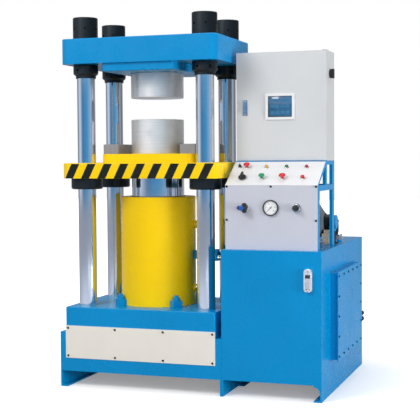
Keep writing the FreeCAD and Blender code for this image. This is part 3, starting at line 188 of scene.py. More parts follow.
floor_mesh = bpy.data.meshes.new("floor")
floor_bm = bmesh.new()
bmesh.ops.create_grid(floor_bm, x_segments=1, y_segments=1, size=FLOOR_HALF)
floor_bm.to_mesh(floor_mesh)
floor_bm.free()
floor = bpy.data.objects.new("floor", floor_mesh)
scene.collection.objects.link(floor)
floor_paint, floor_tree, floor_shader = new_finish("floor_paint")
floor_faces = (("Is Glossy Ray", FLOOR_MIRRORED), ("Is Camera Ray", grey(FLOOR_SEEN)))
floor_colour = by_ray(floor_tree, grey(FLOOR_GIVEN), floor_faces)
floor_tree.links.new(floor_colour, floor_shader.inputs["Base Color"])

# The glow that the camera sees is small under the machine, for its shadow, and full far away.
floor_where = floor_tree.nodes.new("ShaderNodeTexCoord")
floor_reach = floor_tree.nodes.new("ShaderNodeVectorMath")
floor_reach.operation = "LENGTH"
floor_tree.links.new(floor_where.outputs["Object"], floor_reach.inputs[0])
floor_far = floor_reach.outputs["Value"]
floor_lift = spread(floor_tree, floor_far, LIFT_NEAR, LIFT_FAR, LIFT_START, LIFT_END)
floor_eye = floor_tree.nodes.new("ShaderNodeLightPath").outputs["Is Camera Ray"]
floor_glow = maths(floor_tree, "MULTIPLY", floor_lift, floor_eye)
floor_tree.links.new(floor_glow, floor_shader.inputs["Emission Strength"])
floor_shader.inputs["Emission Color"].default_value = (1.0, 1.0, 1.0, 1)
floor_shader.inputs["Roughness"].default_value = 0.9
floor_shader.inputs["Specular IOR Level"].default_value = 0.0
floor_mesh.materials.append(floor_paint)
print("floor is seen at", FLOOR_SEEN, "and gives back", FLOOR_GIVEN)

# %% A sky with coloured bands for the reflections
world = bpy.data.worlds.new("studio")
scene.world = world
world.use_nodes = True
sky = world.node_tree
sky_light = sky.nodes["Background"]
sky_way = sky.nodes.new("ShaderNodeTexCoord")
sky_split = sky.nodes.new("ShaderNodeSeparateXYZ")
sky.links.new(sky_way.outputs["Generated"], sky_split.inputs["Vector"])
sky_angle = maths(sky, "ARCTAN2", sky_split.outputs["X"], sky_split.outputs["Y"])
sky_share = spread(sky, sky_angle, 0, 1, -math.pi, math.pi)


def band_ring(bands):
    """A ring of colours by compass direction: each is a share of the turn and the colour there."""
    node = sky.nodes.new("ShaderNodeValToRGB")
    sky.links.new(sky_share, node.inputs["Fac"])
    ramp = node.color_ramp
    ramp.elements[0].position = bands[0][0]
    ramp.elements[1].position = bands[-1][0]
    for share, _ in bands[1:-1]:
        ramp.elements.new(share)
    for element, (_, colour) in zip(ramp.elements, bands):
        element.color = (*colour, 1)
    return node.outputs["Color"]


# Share of the turn, starting from the operator's side towards the left, and the colour there.
BANDS = (
    (0.0, (0.055, 0.27, 0.56)), (0.045, (0.06, 0.22, 0.45)), (0.086, (0.10, 0.23, 0.42)),
    (0.13, (0.38, 0.53, 0.72)), (0.18, (0.66, 0.77, 0.95)), (0.233, (0.53, 0.61, 0.72)),
    (0.30, (0.17, 0.20, 0.24)), (0.36, (0.42, 0.44, 0.46)), (0.54, (0.42, 0.44, 0.46)),
    (0.592, (0.14, 0.16, 0.18)), (0.665, (0.26, 0.29, 0.33)), (0.717, (0.38, 0.43, 0.55)),
    (0.766, (0.46, 0.58, 0.80)), (0.81, (0.25, 0.44, 0.70)), (0.851, (0.19, 0.44, 0.74)),
    (0.89, (0.09, 0.36, 0.64)), (0.93, (0.055, 0.32, 0.60)), (1.0, (0.055, 0.27, 0.56)),
)
# Higher up, the studio is a bright ceiling over the operator and dark on the right.
CEILING = (
    (0.0, (1.9, 1.9, 1.88)), (0.12, (1.3, 1.3, 1.3)), (0.25, (0.55, 0.56, 0.58)),
    (0.36, (0.42, 0.44, 0.46)), (0.55, (0.26, 0.27, 0.29)), (0.66, (0.03, 0.03, 0.03)),
    (0.82, (0.05, 0.05, 0.05)), (0.91, (1.2, 1.2, 1.2)), (1.0, (1.9, 1.9, 1.88)),
)
CEILING_START, CEILING_FULL = 0.07, 0.25
SKY_GIVEN, SKY_SEEN = 0.56, 1.0
sky_lift = spread(sky, sky_split.outputs["Z"], 0, 1, CEILING_START, CEILING_FULL)
sky_rings = two_tones(sky, sky_lift, band_ring(BANDS), band_ring(CEILING))
sky_faces = (("Is Diffuse Ray", grey(SKY_GIVEN)), ("Is Camera Ray", grey(SKY_SEEN)))
sky.links.new(by_ray(sky, sky_rings, sky_faces), sky_light.inputs["Color"])
sky_light.inputs["Strength"].default_value = 1.0
scene.view_settings.view_transform = "Standard"
print(len(BANDS), "bands in the lower ring,", len(CEILING), "in the upper one")

# %% Soft lamps
def softbox(name, spot, target, width, height, watts, in_reflections=True):
    """A rectangular area lamp that faces a point."""
    data = bpy.data.lights.new(name, "AREA")
    data.shape = "RECTANGLE"
    data.size = width
    data.size_y = height
    data.energy = watts
    lamp = bpy.data.objects.new(name, data)
    scene.collection.objects.link(lamp)
    lamp.visible_glossy = in_reflections
    lamp.visible_camera = False
    lamp.location = spot
    lamp.rotation_euler = (Vector(target) - Vector(spot)).to_track_quat("-Z", "Y").to_euler()
    return lamp


# Name, place, the point it faces, width and height in metres, watts.
softbox("key_light", (-3.0, -5.4, 5.4), (0, 0, 1.2), 2.6, 2.6, 245)
softbox("right_fill", (6.6, -2.4, 1.0), (0.5, 0, 0.7), 2.4, 2.0, 265, in_reflections=False)
softbox("front_fill", (4.6, -7.4, 1.6), (-0.3, 0, 0.8), 2.2, 2.2, 105, in_reflections=False)
softbox("top_light", (0.4, 0.6, 5.2), (0, 0, 1.0), 3.4, 3.4, 60)
print("four softboxes")

# %% [markdown]
# ## Finishes
# Every finish is a Principled shader with a few patterns on Object coordinates, which here are
# metres in the machine's own frame. So one pattern runs on over neighbouring pieces at the right
# scale. Photographs of paint could be used instead, but they would need unwrapped meshes and would
# blur close up.
#
# The first cell makes the small tools: a place to read the pattern at, a noise, rounded edges and
# relief. A noise drives three things: colour, roughness and relief.

# %% Tools for the finishes
def place_of(tree, scale=(1, 1, 1)):
    """Object coordinates through a Mapping node."""
    source = tree.nodes.new("ShaderNodeTexCoord")
    mapping = tree.nodes.new("ShaderNodeMapping")
    mapping.inputs["Scale"].default_value = scale
    tree.links.new(source.outputs["Object"], mapping.inputs["Vector"])
    return mapping.outputs["Vector"]


def noise(tree, where, scale, detail=4.0, roughness=0.5):
    """Soft noise of that many waves per unit of the place given."""
    node = tree.nodes.new("ShaderNodeTexNoise")
    node.inputs["Scale"].default_value = scale
    node.inputs["Detail"].default_value = detail
    node.inputs["Roughness"].default_value = roughness
    tree.links.new(where, node.inputs["Vector"])
    return node.outputs["Fac"]


def round_edges(tree, radius):
    """Normals as if every edge were rounded, which is what catches light along a real edge."""
    node = tree.nodes.new("ShaderNodeBevel")
    node.samples = 4
    node.inputs["Radius"].default_value = radius
    return node.outputs["Normal"]


def relief(tree, height, depth, under):
    """A bump of that depth in metres, on top of the normals given."""
    node = tree.nodes.new("ShaderNodeBump")
    node.inputs["Strength"].default_value = 1.0
    node.inputs["Distance"].default_value = depth
    tree.links.new(height, node.inputs["Height"])
    tree.links.new(under, node.inputs["Normal"])
    return node.outputs["Normal"]


def shade(colour, by):
    """A colour triple made lighter or darker."""
    return tuple(min(1.0, channel * by) for channel in colour)


print("tools ready")

# %% [markdown]
# ## Machine enamel
# The blue and yellow parts are sprayed with gloss enamel over castings and plate. Close up, such
# paint has a faint orange-peel relief, it is a touch lighter along its edges, and a film of
# handling dust changes its gloss from place to place. The lighter edges are partly rubbed paint and
# partly a painted highlight, where light would catch a rounded edge. A painter could brush these in
# by hand. Here two noises do it: a broad one for tone and dust, and a fine one for the peel. The
# lighter edges, wear and painted highlight at once, are found by comparing the real normal with the
# rounded one, because the two differ only near an edge.

# %% Enamel
def edge_share(tree, rounded, gain):
    """Near 1 along edges and 0 on open faces."""
    true_normal = tree.nodes.new("ShaderNodeNewGeometry").outputs["Normal"]
    dot = tree.nodes.new("ShaderNodeVectorMath")
    dot.operation = "DOT_PRODUCT"
    tree.links.new(rounded, dot.inputs[0])
    tree.links.new(true_normal, dot.inputs[1])
    away = maths(tree, "SUBTRACT", 1.0, dot.outputs["Value"])
    return maths(tree, "MULTIPLY", away, gain, clamp=True)


GLOSS = 0.26
PEEL = 0.04 * MM
ENAMEL_EDGE = 2.2 * MM
# How much lighter the edges are painted: partly wear, partly a painted highlight.
EDGE_HIGHLIGHT_TONE = 1.35


def enamel(name, colour, over=None):
    """Sprayed gloss paint. over, if given, adds a second colour on top of the paint's own."""
    finish, tree, shader = new_finish(name)
    where = place_of(tree)
    broad = noise(tree, where, 2.3, 5.0, 0.55)
    paint = two_tones(tree, spread(tree, broad, 0, 1), shade(colour, 0.93), shade(colour, 1.04))
    if over is not None:
        paint = over(tree, paint)
    rounded = round_edges(tree, ENAMEL_EDGE)
    rub_and_edge_highlight = noise(tree, where, 60.0, 3.0)
    edge_highlight_and_wear = maths(tree, "MULTIPLY", edge_share(tree, rounded, 3.0), spread(tree, rub_and_edge_highlight, 0.15, 0.8))
    # The edges are painted lighter: partly rubbed paint, partly a painted highlight where light
    # would catch the edge.
    lighter = tuple(min(1.0, channel * EDGE_HIGHLIGHT_TONE + 0.02) for channel in colour)
    tree.links.new(two_tones(tree, edge_highlight_and_wear, paint, lighter), shader.inputs["Base Color"])
    dust = noise(tree, where, 9.0, 6.0, 0.65)
    tree.links.new(spread(tree, dust, GLOSS - 0.06, GLOSS + 0.1), shader.inputs["Roughness"])
    skin = noise(tree, where, 420.0, 2.0)
    tree.links.new(relief(tree, skin, PEEL, rounded), shader.inputs["Normal"])
    shader.inputs["Specular IOR Level"].default_value = 0.22
    return finish


BLUE = (0.0, 0.255, 0.585)
YELLOW = (0.965, 0.640, 0.004)
finishes = {
    "blue_paint": enamel("blue_paint", BLUE),
    "yellow_paint": enamel("yellow_paint", YELLOW),
}
print("enamels:", sorted(finishes))

# %% [markdown]
# ## Hazard stripes on the table
# The moving table is yellow with black stripes on its front edge only, sprayed through a mask, so
# the paint is the same and only its colour changes. A decal mesh could float above the face, but
# it would flicker at a distance. Here the enamel gets a second colour: the stripes come from a
# sloped saw-tooth of X and Z, and they show only where the surface faces the operator. Nine
# stripes fit, and a thin yellow rim stays above them.

# %% The striped table's paint
platen_low, platen_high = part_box("platen")
STRIPES = 9
STRIPE_PITCH = 116.6 * MM
STRIPE_SHARE = 0.5
STRIPE_LEAN = 0.50
STRIPE_START = 25.9 * MM
STRIPE_RIM = 4.5 * MM
STRIPE_BLACK = (0.010, 0.013, 0.011)
FACES_FRONT = -0.5  # a normal whose Y is below this looks to the operator


def striped(tree, paint):
    """Black stripes over the paint, on faces that look to the front."""
    source = tree.nodes.new("ShaderNodeTexCoord")
    split = tree.nodes.new("ShaderNodeSeparateXYZ")
    tree.links.new(source.outputs["Object"], split.inputs["Vector"])
    lift = maths(tree, "SUBTRACT", split.outputs["Z"], platen_low.z)
    leaning = maths(tree, "MULTIPLY", lift, STRIPE_LEAN)
    leaning = maths(tree, "SUBTRACT", split.outputs["X"], leaning)
    along = maths(tree, "SUBTRACT", leaning, platen_low.x + STRIPE_START)
    saw = maths(tree, "FRACT", maths(tree, "DIVIDE", along, STRIPE_PITCH))
    black = maths(tree, "LESS_THAN", saw, STRIPE_SHARE)
    surface = tree.nodes.new("ShaderNodeNewGeometry")
    facing = tree.nodes.new("ShaderNodeSeparateXYZ")
    tree.links.new(surface.outputs["Normal"], facing.inputs["Vector"])
    front = maths(tree, "LESS_THAN", facing.outputs["Y"], FACES_FRONT)
    started = maths(tree, "GREATER_THAN", along, 0.0)
    ended = maths(tree, "LESS_THAN", along, STRIPES * STRIPE_PITCH)
    below_rim = maths(tree, "LESS_THAN", split.outputs["Z"], platen_high.z - STRIPE_RIM)
    share = maths(tree, "MULTIPLY", black, front)
    for limit in (started, ended, below_rim):
        share = maths(tree, "MULTIPLY", share, limit)
    return two_tones(tree, share, paint, STRIPE_BLACK)


table_paint = enamel("striped_yellow_paint", YELLOW, over=striped)
print(STRIPES, "stripes, one every", round(STRIPE_PITCH / MM, 1), "mm")

# %% [markdown]
# ## Steel
# Several kinds of bare or treated steel show on the press. Hard chrome is polished and very
# smooth. The dies are turned, so fine tool rings run round them, and the darker bars beside the
# lower die are ground flat. The nuts are blackened, with a thin oily sheen. Small fittings are
# zinc plated, and rings and caps are bright plated. They could share one grey metal, but the eye
# tells them apart by how their highlights break up. So each has its own grain: a noise squeezed
# along one axis draws the tool's path.

# %% Metal with a grain
def metal(name, colour, rough, grain, depth, tone, blotch, metallic=1.0):
    """A metal whose grain is a noise scaled by the triple given, in lines per metre."""
    finish, tree, shader = new_finish(name)
    fine = noise(tree, place_of(tree, grain), 1.0, 3.0, 0.6)
    broad = noise(tree, place_of(tree), 7.0, 5.0, 0.6)
    lines = spread(tree, fine, 0, 1)
    tinted = two_tones(tree, lines, shade(colour, 1 - tone), shade(colour, 1 + tone))
    stains = spread(tree, broad, 0, 0.6, 0.45, 0.75)
    stained = two_tones(tree, stains, tinted, shade(colour, 1 - 2 * tone))
    tree.links.new(stained, shader.inputs["Base Color"])
    tree.links.new(spread(tree, broad, rough - blotch, rough + blotch), shader.inputs["Roughness"])
    rounded = round_edges(tree, METAL_EDGE)
    tree.links.new(relief(tree, fine, depth * MM, rounded), shader.inputs["Normal"])
    shader.inputs["Metallic"].default_value = metallic
    return finish


METAL_EDGE = 1.0 * MM
# Colour, roughness, grain, depth of the grain in millimetres, tone, blotches in the gloss.
METALS = {
    "hard_chrome": ((0.76, 0.78, 0.80), 0.10, (3, 3, 900), 0.0008, 0.02, 0.02),
    "die_steel": ((0.84, 0.81, 0.77), 0.38, (5, 5, 700), 0.02, 0.12, 0.08, 0.85),
    "black_oxide": ((0.020, 0.026, 0.030), 0.34, (90, 90, 900), 0.02, 0.2, 0.08, 0.75),
    "bright_plating": ((0.74, 0.74, 0.73), 0.16, (120, 120, 120), 0.004, 0.04, 0.05),
    "zinc_plate": ((0.62, 0.64, 0.60), 0.42, (14, 14, 14), 0.006, 0.10, 0.1),
    "ground_steel": ((0.33, 0.31, 0.31), 0.36, (800, 5, 5), 0.01, 0.15, 0.06, 0.6),
    "machined_steel": ((0.52, 0.52, 0.52), 0.28, (800, 5, 5), 0.01, 0.12, 0.05),
    "sight_case": ((0.84, 0.84, 0.85), 0.30, (60, 60, 60), 0.004, 0.06, 0.05, 0.7),
}
for name, recipe in METALS.items():
    finishes[name] = metal(name, *recipe)
print("metals:", sorted(METALS))

# %% [markdown]
# ## Powder coat and sheet paint
# The cabinet, the panels and the base cover are thin sheet with powder coat. Powder melts into
# small dimples a couple of millimetres apart, without the long waves of sprayed enamel, and its
# gloss is lower. So this finish uses cells instead of soft noise for the relief.

# %% Coated sheet
def coated(name, colour, rough, dimple, depth, tone=0.03):
    """Powder coat: dimples of that size in millimetres, over an almost even colour."""
    finish, tree, shader = new_finish(name)
    where = place_of(tree)
    broad = noise(tree, where, 3.0, 5.0, 0.6)
    share = spread(tree, broad, 0, 1)
    base = two_tones(tree, share, shade(colour, 1 - tone), shade(colour, 1 + tone))
    rounded = round_edges(tree, SHEET_EDGE)
    # Every edge is painted lighter, partly as rubbed coat and partly as a painted highlight where
    # light catches it.
    rub_and_edge_highlight = edge_share(tree, rounded, 1.4)
    tree.links.new(two_tones(tree, rub_and_edge_highlight, base, shade(colour, 1.12)), shader.inputs["Base Color"])
    cells = tree.nodes.new("ShaderNodeTexVoronoi")
    cells.feature = "SMOOTH_F1"
    cells.inputs["Scale"].default_value = 1.0 / (dimple * MM)
    tree.links.new(where, cells.inputs["Vector"])
    skin = relief(tree, cells.outputs["Distance"], depth * MM, rounded)
    tree.links.new(skin, shader.inputs["Normal"])
    dust = noise(tree, where, 14.0, 5.0, 0.65)
    tree.links.new(spread(tree, dust, rough - 0.05, rough + 0.08), shader.inputs["Roughness"])
    return finish


SHEET_EDGE = 1.2 * MM
# Colour, roughness, dimple size and depth in millimetres, tone.
COATS = {
    "cream_sheet": ((0.80, 0.765, 0.70), 0.38, 2.2, 0.06),
    "cabinet_grey": ((0.585, 0.600, 0.615), 0.46, 1.8, 0.09),
    "panel_white": ((0.76, 0.765, 0.78), 0.34, 1.6, 0.03),
    "beige_paint": ((0.62, 0.52, 0.38), 0.55, 3.0, 0.08, 0.08),
    "motor_grey": ((0.135, 0.155, 0.175), 0.42, 4.0, 0.12, 0.1),
    "panel_grey": ((0.545, 0.560, 0.640), 0.36, 1.6, 0.03),
}
for name, recipe in COATS.items():
    finishes[name] = coated(name, *recipe)
print("coats:", sorted(COATS))

# %% [markdown]
# ## Moulded and cast parts
# Buttons, knobs, device cases and rubber are mouldings: their colour goes right through, with a
# fine spark-eroded texture on plain plastic, and a smoother skin on rubber. The signal lamps are
# tinted clear plastic, so light goes into them. Cast iron has a coarser skin than any of these.

# %% Plastics, rubber and iron
def moulded(name, colour, rough, texture, depth, tone=0.05, clear=0.0):
    """Moulded plastic or rubber: texture is the grain's count per metre."""
    finish, tree, shader = new_finish(name)
    where = place_of(tree)
    broad = noise(tree, where, 25.0, 4.0)
    share = spread(tree, broad, 0, 1)
    body = two_tones(tree, share, shade(colour, 1 - tone), shade(colour, 1 + tone))
    tree.links.new(body, shader.inputs["Base Color"])
    grain = noise(tree, where, texture, 2.0)
    rounded = round_edges(tree, MOULD_EDGE)
    tree.links.new(relief(tree, grain, depth * MM, rounded), shader.inputs["Normal"])
    tree.links.new(spread(tree, broad, rough - 0.04, rough + 0.06), shader.inputs["Roughness"])
    shader.inputs["Transmission Weight"].default_value = clear
    return finish


MOULD_EDGE = 0.8 * MM
# Colour, roughness, grain per metre, depth of the grain in millimetres, tone, clearness.
MOULDINGS = {
    "black_plastic": ((0.016, 0.016, 0.018), 0.38, 1500, 0.02),
    "grey_plastic": ((0.34, 0.36, 0.38), 0.45, 1200, 0.02),
    "wiper_rubber": ((0.014, 0.014, 0.014), 0.62, 700, 0.02, 0.12),
    "red_plastic": ((0.58, 0.006, 0.012), 0.22, 900, 0.008),
    "green_plastic": ((0.004, 0.235, 0.085), 0.22, 900, 0.008),
    "amber_lens": ((0.75, 0.36, 0.03), 0.12, 600, 0.006, 0.06, 0.35),
    "green_lens": ((0.004, 0.16, 0.06), 0.12, 600, 0.006, 0.06, 0.3),
    "red_lens": ((0.42, 0.004, 0.03), 0.12, 600, 0.006, 0.06, 0.3),
    "needle_enamel": ((0.012, 0.040, 0.18), 0.3, 900, 0.004),
    "black_iron": ((0.012, 0.013, 0.014), 0.45, 260, 0.12, 0.2),
    "blue_plastic": ((0.01, 0.09, 0.42), 0.25, 900, 0.008),
    "dial_white": ((0.84, 0.85, 0.86), 0.4, 1200, 0.004, 0.02),
    "oil_amber": ((0.70, 0.60, 0.42), 0.1, 400, 0.002, 0.1, 0.3),
    "display_blue": ((0.025, 0.115, 0.24), 0.12, 600, 0.002, 0.12),
    "display_pale": ((0.050, 0.165, 0.31), 0.14, 600, 0.002, 0.1),
    "clear_glass": ((0.97, 0.98, 0.98), 0.05, 300, 0.001, 0.01),
}
for name, recipe in MOULDINGS.items():
    finishes[name] = moulded(name, *recipe)
GLASS_ALPHA = 0.10
glass_shader = finishes["clear_glass"].node_tree.nodes["Principled BSDF"]
glass_shader.inputs["Alpha"].default_value = GLASS_ALPHA
print(len(finishes), "finishes")

# %% [markdown]
# ## The finishes go onto the CAD pieces
# The record says which finish each CAD piece has. The pieces' meshes stay as they are, and only
# their material slots change. Three pieces get a finish that differs from their slot's plain one:
# the table, the level gauge's case and the bars beside the lower die.

# %% Assign the finishes
slot_of = {row["node"]: row["material_slot"] for row in frame["record"]["subparts"]}
special = {
    "platen": table_paint,
    "level_gauge": finishes["sight_case"],
    "die_side_bars": finishes["ground_steel"],
}
for name, node in frame["nodes"].items():
    finish = special.get(name, finishes[slot_of[name]])
    node.data.materials.clear()
    node.data.materials.append(finish)
print(len(frame["nodes"]), "CAD pieces painted")

# %% [markdown]
# ## Tools for the small pieces
# The small pieces are turned or milled, so two tools make nearly all of them. One spins a profile
# round an axis, as a lathe does, and a ring of the profile can be six-sided, for a nut or a hex
# socket. The other makes a block with rounded edges. A third tool turns the finished shape into an
# object that rides on one of the machine's bodies. Blender's own cylinders could be stacked
# instead, but they would leave hidden faces inside, while a profile gives one clean skin.

# %% Tools for the pieces
made = []
SHARP = math.radians(32)
MERGE = 0.005 * MM
NEAR = 0.001 * MM


def mm(x, y, z):
    """A step in millimetres."""
    return Vector((x, y, z)) * MM


def across(axis):
    """Two directions at right angles to an axis and to each other, with the axis itself first."""
    along = Vector(axis).normalized()
    side = Vector((0, 0, 1)) if abs(along.z) < 0.9 else Vector((1, 0, 0))
    first = along.cross(side).normalized()
    return along, first, along.cross(first)


def join(bm, shape):
    """Adds a finished shape to the piece that is being built."""
    mesh = bpy.data.meshes.new("shape")
    shape.to_mesh(mesh)
    shape.free()
    bm.from_mesh(mesh)
    bpy.data.meshes.remove(mesh)


def turned(bm, spot, axis, profile, segments=32):
    """Spins (distance along the axis, radius) pairs in millimetres; a third number: flat sides."""
    along, first, second = across(axis)
    shape = bmesh.new()
    points = [shape.verts.new((along * row[0] + first * row[1]) * MM) for row in profile]
    lines = [shape.edges.new(pair) for pair in zip(points, points[1:])]
    bmesh.ops.spin(shape, geom=points + lines, axis=along, angle=math.tau, steps=segments,
                   use_merge=True)
    for lift, radius, sides in (row for row in profile if len(row) == 3):
        half = math.pi / sides
        for vert in shape.verts:
            out = vert.co - along * vert.co.dot(along)
            level = abs(vert.co.dot(along) - lift * MM) < NEAR
            if level and abs(out.length - radius * MM) < NEAR:
                angle = math.atan2(out.dot(second), out.dot(first)) % (2 * half)
                vert.co += out * (math.cos(half) / math.cos(angle - half) - 1)
    bmesh.ops.translate(shape, verts=shape.verts, vec=Vector(spot))
    join(bm, shape)


def block(bm, low, high, rounding=0.0, place=Matrix()):
    """A box between two corners in metres, with edges rounded by that many millimetres."""
    low, high = Vector(low), Vector(high)
    shape = place @ Matrix.Translation((low + high) / 2) @ Matrix.Diagonal((*(high - low), 1))
    verts = bmesh.ops.create_cube(bm, size=1.0)["verts"]
    for vert in verts:
        vert.co = shape @ vert.co
    if rounding > 0:
        edges = list({edge for vert in verts for edge in vert.link_edges})
        bmesh.ops.bevel(bm, geom=edges, offset=rounding * MM, segments=2, profile=0.5,
                        affect="EDGES", material=-1)


def close_ends(bm):
    """Fills the open rings of a shape."""
    bmesh.ops.holes_fill(bm, edges=[edge for edge in bm.edges if edge.is_boundary], sides=0)


def piece(name, bm, finish, body="frame"):
    """Cleans the shape, gives it a finish and lets it ride on a body of the machine."""
    bmesh.ops.remove_doubles(bm, verts=bm.verts, dist=MERGE)
    bmesh.ops.recalc_face_normals(bm, faces=bm.faces)
    mesh = bpy.data.meshes.new(name)
    bm.to_mesh(mesh)
    bm.free()
    mesh.shade_smooth()
    mesh.set_sharp_from_angle(angle=SHARP)
    mesh.materials.append(finishes[finish])
    thing = bpy.data.objects.new(name, mesh)
    scene.collection.objects.link(thing)
    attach(thing, body)
    made.append(thing)
    return thing


def turned_piece(name, finish, spot, axis, profile, segments, body="frame"):
    """A piece that is one turned shape."""
    bm = bmesh.new()
    turned(bm, spot, axis, profile, segments)
    return piece(name, bm, finish, body)


def islands(name):
    """The (lowest, highest) corners of each separate solid in a CAD piece."""
    bm = bmesh.new()
    bm.from_mesh(frame["nodes"][name].data)
    bmesh.ops.remove_doubles(bm, verts=bm.verts, dist=2 * MERGE)
    left, boxes = set(bm.verts), []
    while left:
        reached = [left.pop()]
        for vert in reached:
            for edge in vert.link_edges:
                other = edge.other_vert(vert)
                if other in left:
                    left.remove(other)
                    reached.append(other)
        low = Vector([min(vert.co[i] for vert in reached) for i in range(3)])
        high = Vector([max(vert.co[i] for vert in reached) for i in range(3)])
        boxes.append((low, high))
    bm.free()
    return sorted(boxes, key=lambda corners: tuple(corners[0]))


def middle(name):
    """The middle of a CAD piece's box."""
    low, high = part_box(name)
    return (low + high) / 2


FRONT, RIGHT, UP = Vector((0, -1, 0)), Vector((1, 0, 0)), Vector((0, 0, 1))
print("piece tools ready")

# %% [markdown]
# ## Cover screws
# Thirty-one black button-head screws hold the covers. The CAD has each as a plain disc, which
# marks the place. A real button head is a shallow dome with a hex socket that a key fits, and the
# socket is what tells it from a rivet. The dome and the socket are one profile, whose last rings
# are six-sided.

# %% Button-head screws
HEAD = ((-0.2, 0), (-0.2, 7.2), (2.6, 7.2), (4.2, 6.4), (5.2, 5.0), (5.8, 3.7), (5.7, 3.0, 6),
        (3.4, 2.8, 6), (3.0, 0))
bm = bmesh.new()
spots = islands("cover_screws")
for low, high in spots:
    size = high - low
    axis = FRONT if size.y < size.x else RIGHT
    foot = (low + high) / 2 - axis * (min(size) / 2)
    turned(bm, foot, axis, HEAD, 24)
screws = piece("button_screws", bm, "black_oxide")
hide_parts("cover_screws")
print(len(spots), "screws,", len(screws.data.polygons), "faces")

# %% [markdown]
# ## Pressure gauge
# The gauge's case and its needle are CAD. A dial needs a printed scale: twenty-six marks over
# three quarters of a turn, every fifth one longer, with its number. A picture could carry it, but
# marks made as thin raised shapes stay sharp at any distance. The glass is a thin clear disc held
# by the bezel. It casts almost no shadow, so the dial stays readable.

# %% Dial face and scale
DIAL_DEPTH = 7 * MM
dial_centre = middle("pressure_gauge")
dial_centre.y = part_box("pressure_gauge")[0].y + DIAL_DEPTH
DIAL_R, SHAFT_R = 43.6, 2.4
SCALE_TOP, SCALE_STEP = 25, 5
SCALE_START, SCALE_TURN = 225, 270
LONG_MARK, SHORT_MARK = (0.9, 31.5), (0.45, 35.0)
MARK_END = 39.5
MARK_RING = ((0.4, 39.6), (0.8, 39.6), (0.8, 40.4), (0.4, 40.4), (0.4, 39.6))
DIAL_WASHER = ((-0.2, SHAFT_R), (-0.2, DIAL_R), (0.5, DIAL_R), (0.5, SHAFT_R), (-0.2, SHAFT_R))
turned_piece("dial_face", "dial_white", dial_centre, FRONT, DIAL_WASHER, 64)


def dial_angle(value):
    """Where a reading stands: radians from 3 o'clock, anticlockwise."""
    return math.radians(SCALE_START - SCALE_TURN * value / SCALE_TOP)


bm = bmesh.new()
for mark in range(SCALE_TOP + 1):
    width, inner = SHORT_MARK if mark % SCALE_STEP else LONG_MARK
    place = Matrix.Translation(dial_centre) @ Matrix.Rotation(-dial_angle(mark), 4, "Y")
    block(bm, mm(inner, -0.8, -width), mm(MARK_END, -0.3, width), place=place)
turned(bm, dial_centre, FRONT, MARK_RING, 64)
piece("dial_marks", bm, "black_plastic")
print("dial marks:", SCALE_TOP + 1)

# %% Numbers on the dial
NUMBER_SIZE, NUMBER_THICK = 9.8 * MM, 0.2 * MM
NUMBER_R, NUMBER_LIFT = 25.5, 0.7
bm = bmesh.new()
for number in range(0, SCALE_TOP + 1, SCALE_STEP):
    text = bpy.data.curves.new("number", "FONT")
    text.body = str(number)
    text.size = NUMBER_SIZE
    text.align_x = "CENTER"
    text.align_y = "CENTER"
    text.extrude = NUMBER_THICK
    carrier = bpy.data.objects.new("number", text)
    flat = bpy.data.meshes.new_from_object(carrier)
    angle = dial_angle(number)
    spot = dial_centre + mm(math.cos(angle) * NUMBER_R, -NUMBER_LIFT, math.sin(angle) * NUMBER_R)
    flat.transform(Matrix.Translation(spot) @ Matrix.Rotation(math.pi / 2, 4, "X"))
    bm.from_mesh(flat)
    bpy.data.meshes.remove(flat)
    bpy.data.objects.remove(carrier)
    bpy.data.curves.remove(text)
piece("dial_numbers", bm, "black_plastic")

GLASS = ((4.6, 0), (4.6, 43.9), (5.8, 43.9), (5.8, 0))
RIM = ((4.4, 50.1), (4.4, 50.9), (6.2, 50.9), (6.6, 50.2), (6.6, 44.6), (5.9, 43.8), (5.5, 43.8),
       (4.4, 50.1))
turned_piece("gauge_glass", "clear_glass", dial_centre, FRONT, GLASS, 64)
turned_piece("gauge_rim", "black_oxide", dial_centre, FRONT, RIM, 64)
print("numbers, glass and rim on the gauge")

# %% [markdown]
# ## Valve knobs
# The left valve's three-lobed knob has a blue hub cap, pressed into the lobes' middle. The right
# one turns inside a plated ring with a black gasket. Its small knob has straight knurling, which
# is rolled into a real knob by two hard wheels. The filler cap on the tank is knurled in the same
# way. Here a smooth band is turned, and every second line of its points is pressed in.

# %% Hub cap, ring and gasket
def front_of(name):
    """The middle of a CAD piece's front side."""
    spot = middle(name)
    spot.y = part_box(name)[0].y
    return spot


right_spot = front_of("right_valve_knob")
left_spot = front_of("left_valve_knob")
left_spot.z = right_spot.z
ring_spot = Vector((right_spot.x, front_of("gauge_panel").y, right_spot.z))

HUB_CAP = ((-3, 0), (-3, 16.6), (1.2, 16.6), (3.0, 15.2), (4.2, 11.0), (4.6, 0))
RING = ((3.8, 26), (20, 26), (22, 24), (22, 19.4), (3.8, 19.4), (3.8, 26))
GASKET = ((0.2, 28), (3.4, 28), (4.2, 27.2), (4.2, 25.4), (0.2, 25.4), (0.2, 28))
turned_piece("valve_hub_cap", "blue_plastic", left_spot, FRONT, HUB_CAP, 40, "left_valve")
turned_piece("valve_ring", "bright_plating", ring_spot, FRONT, RING, 48)
turned_piece("valve_gasket", "wiper_rubber", ring_spot, FRONT, GASKET, 48)
print("ring and gasket on the panel, cap on the left knob")

# %% Knurls
RUN_OUT, FADE = 0.8, 1.2


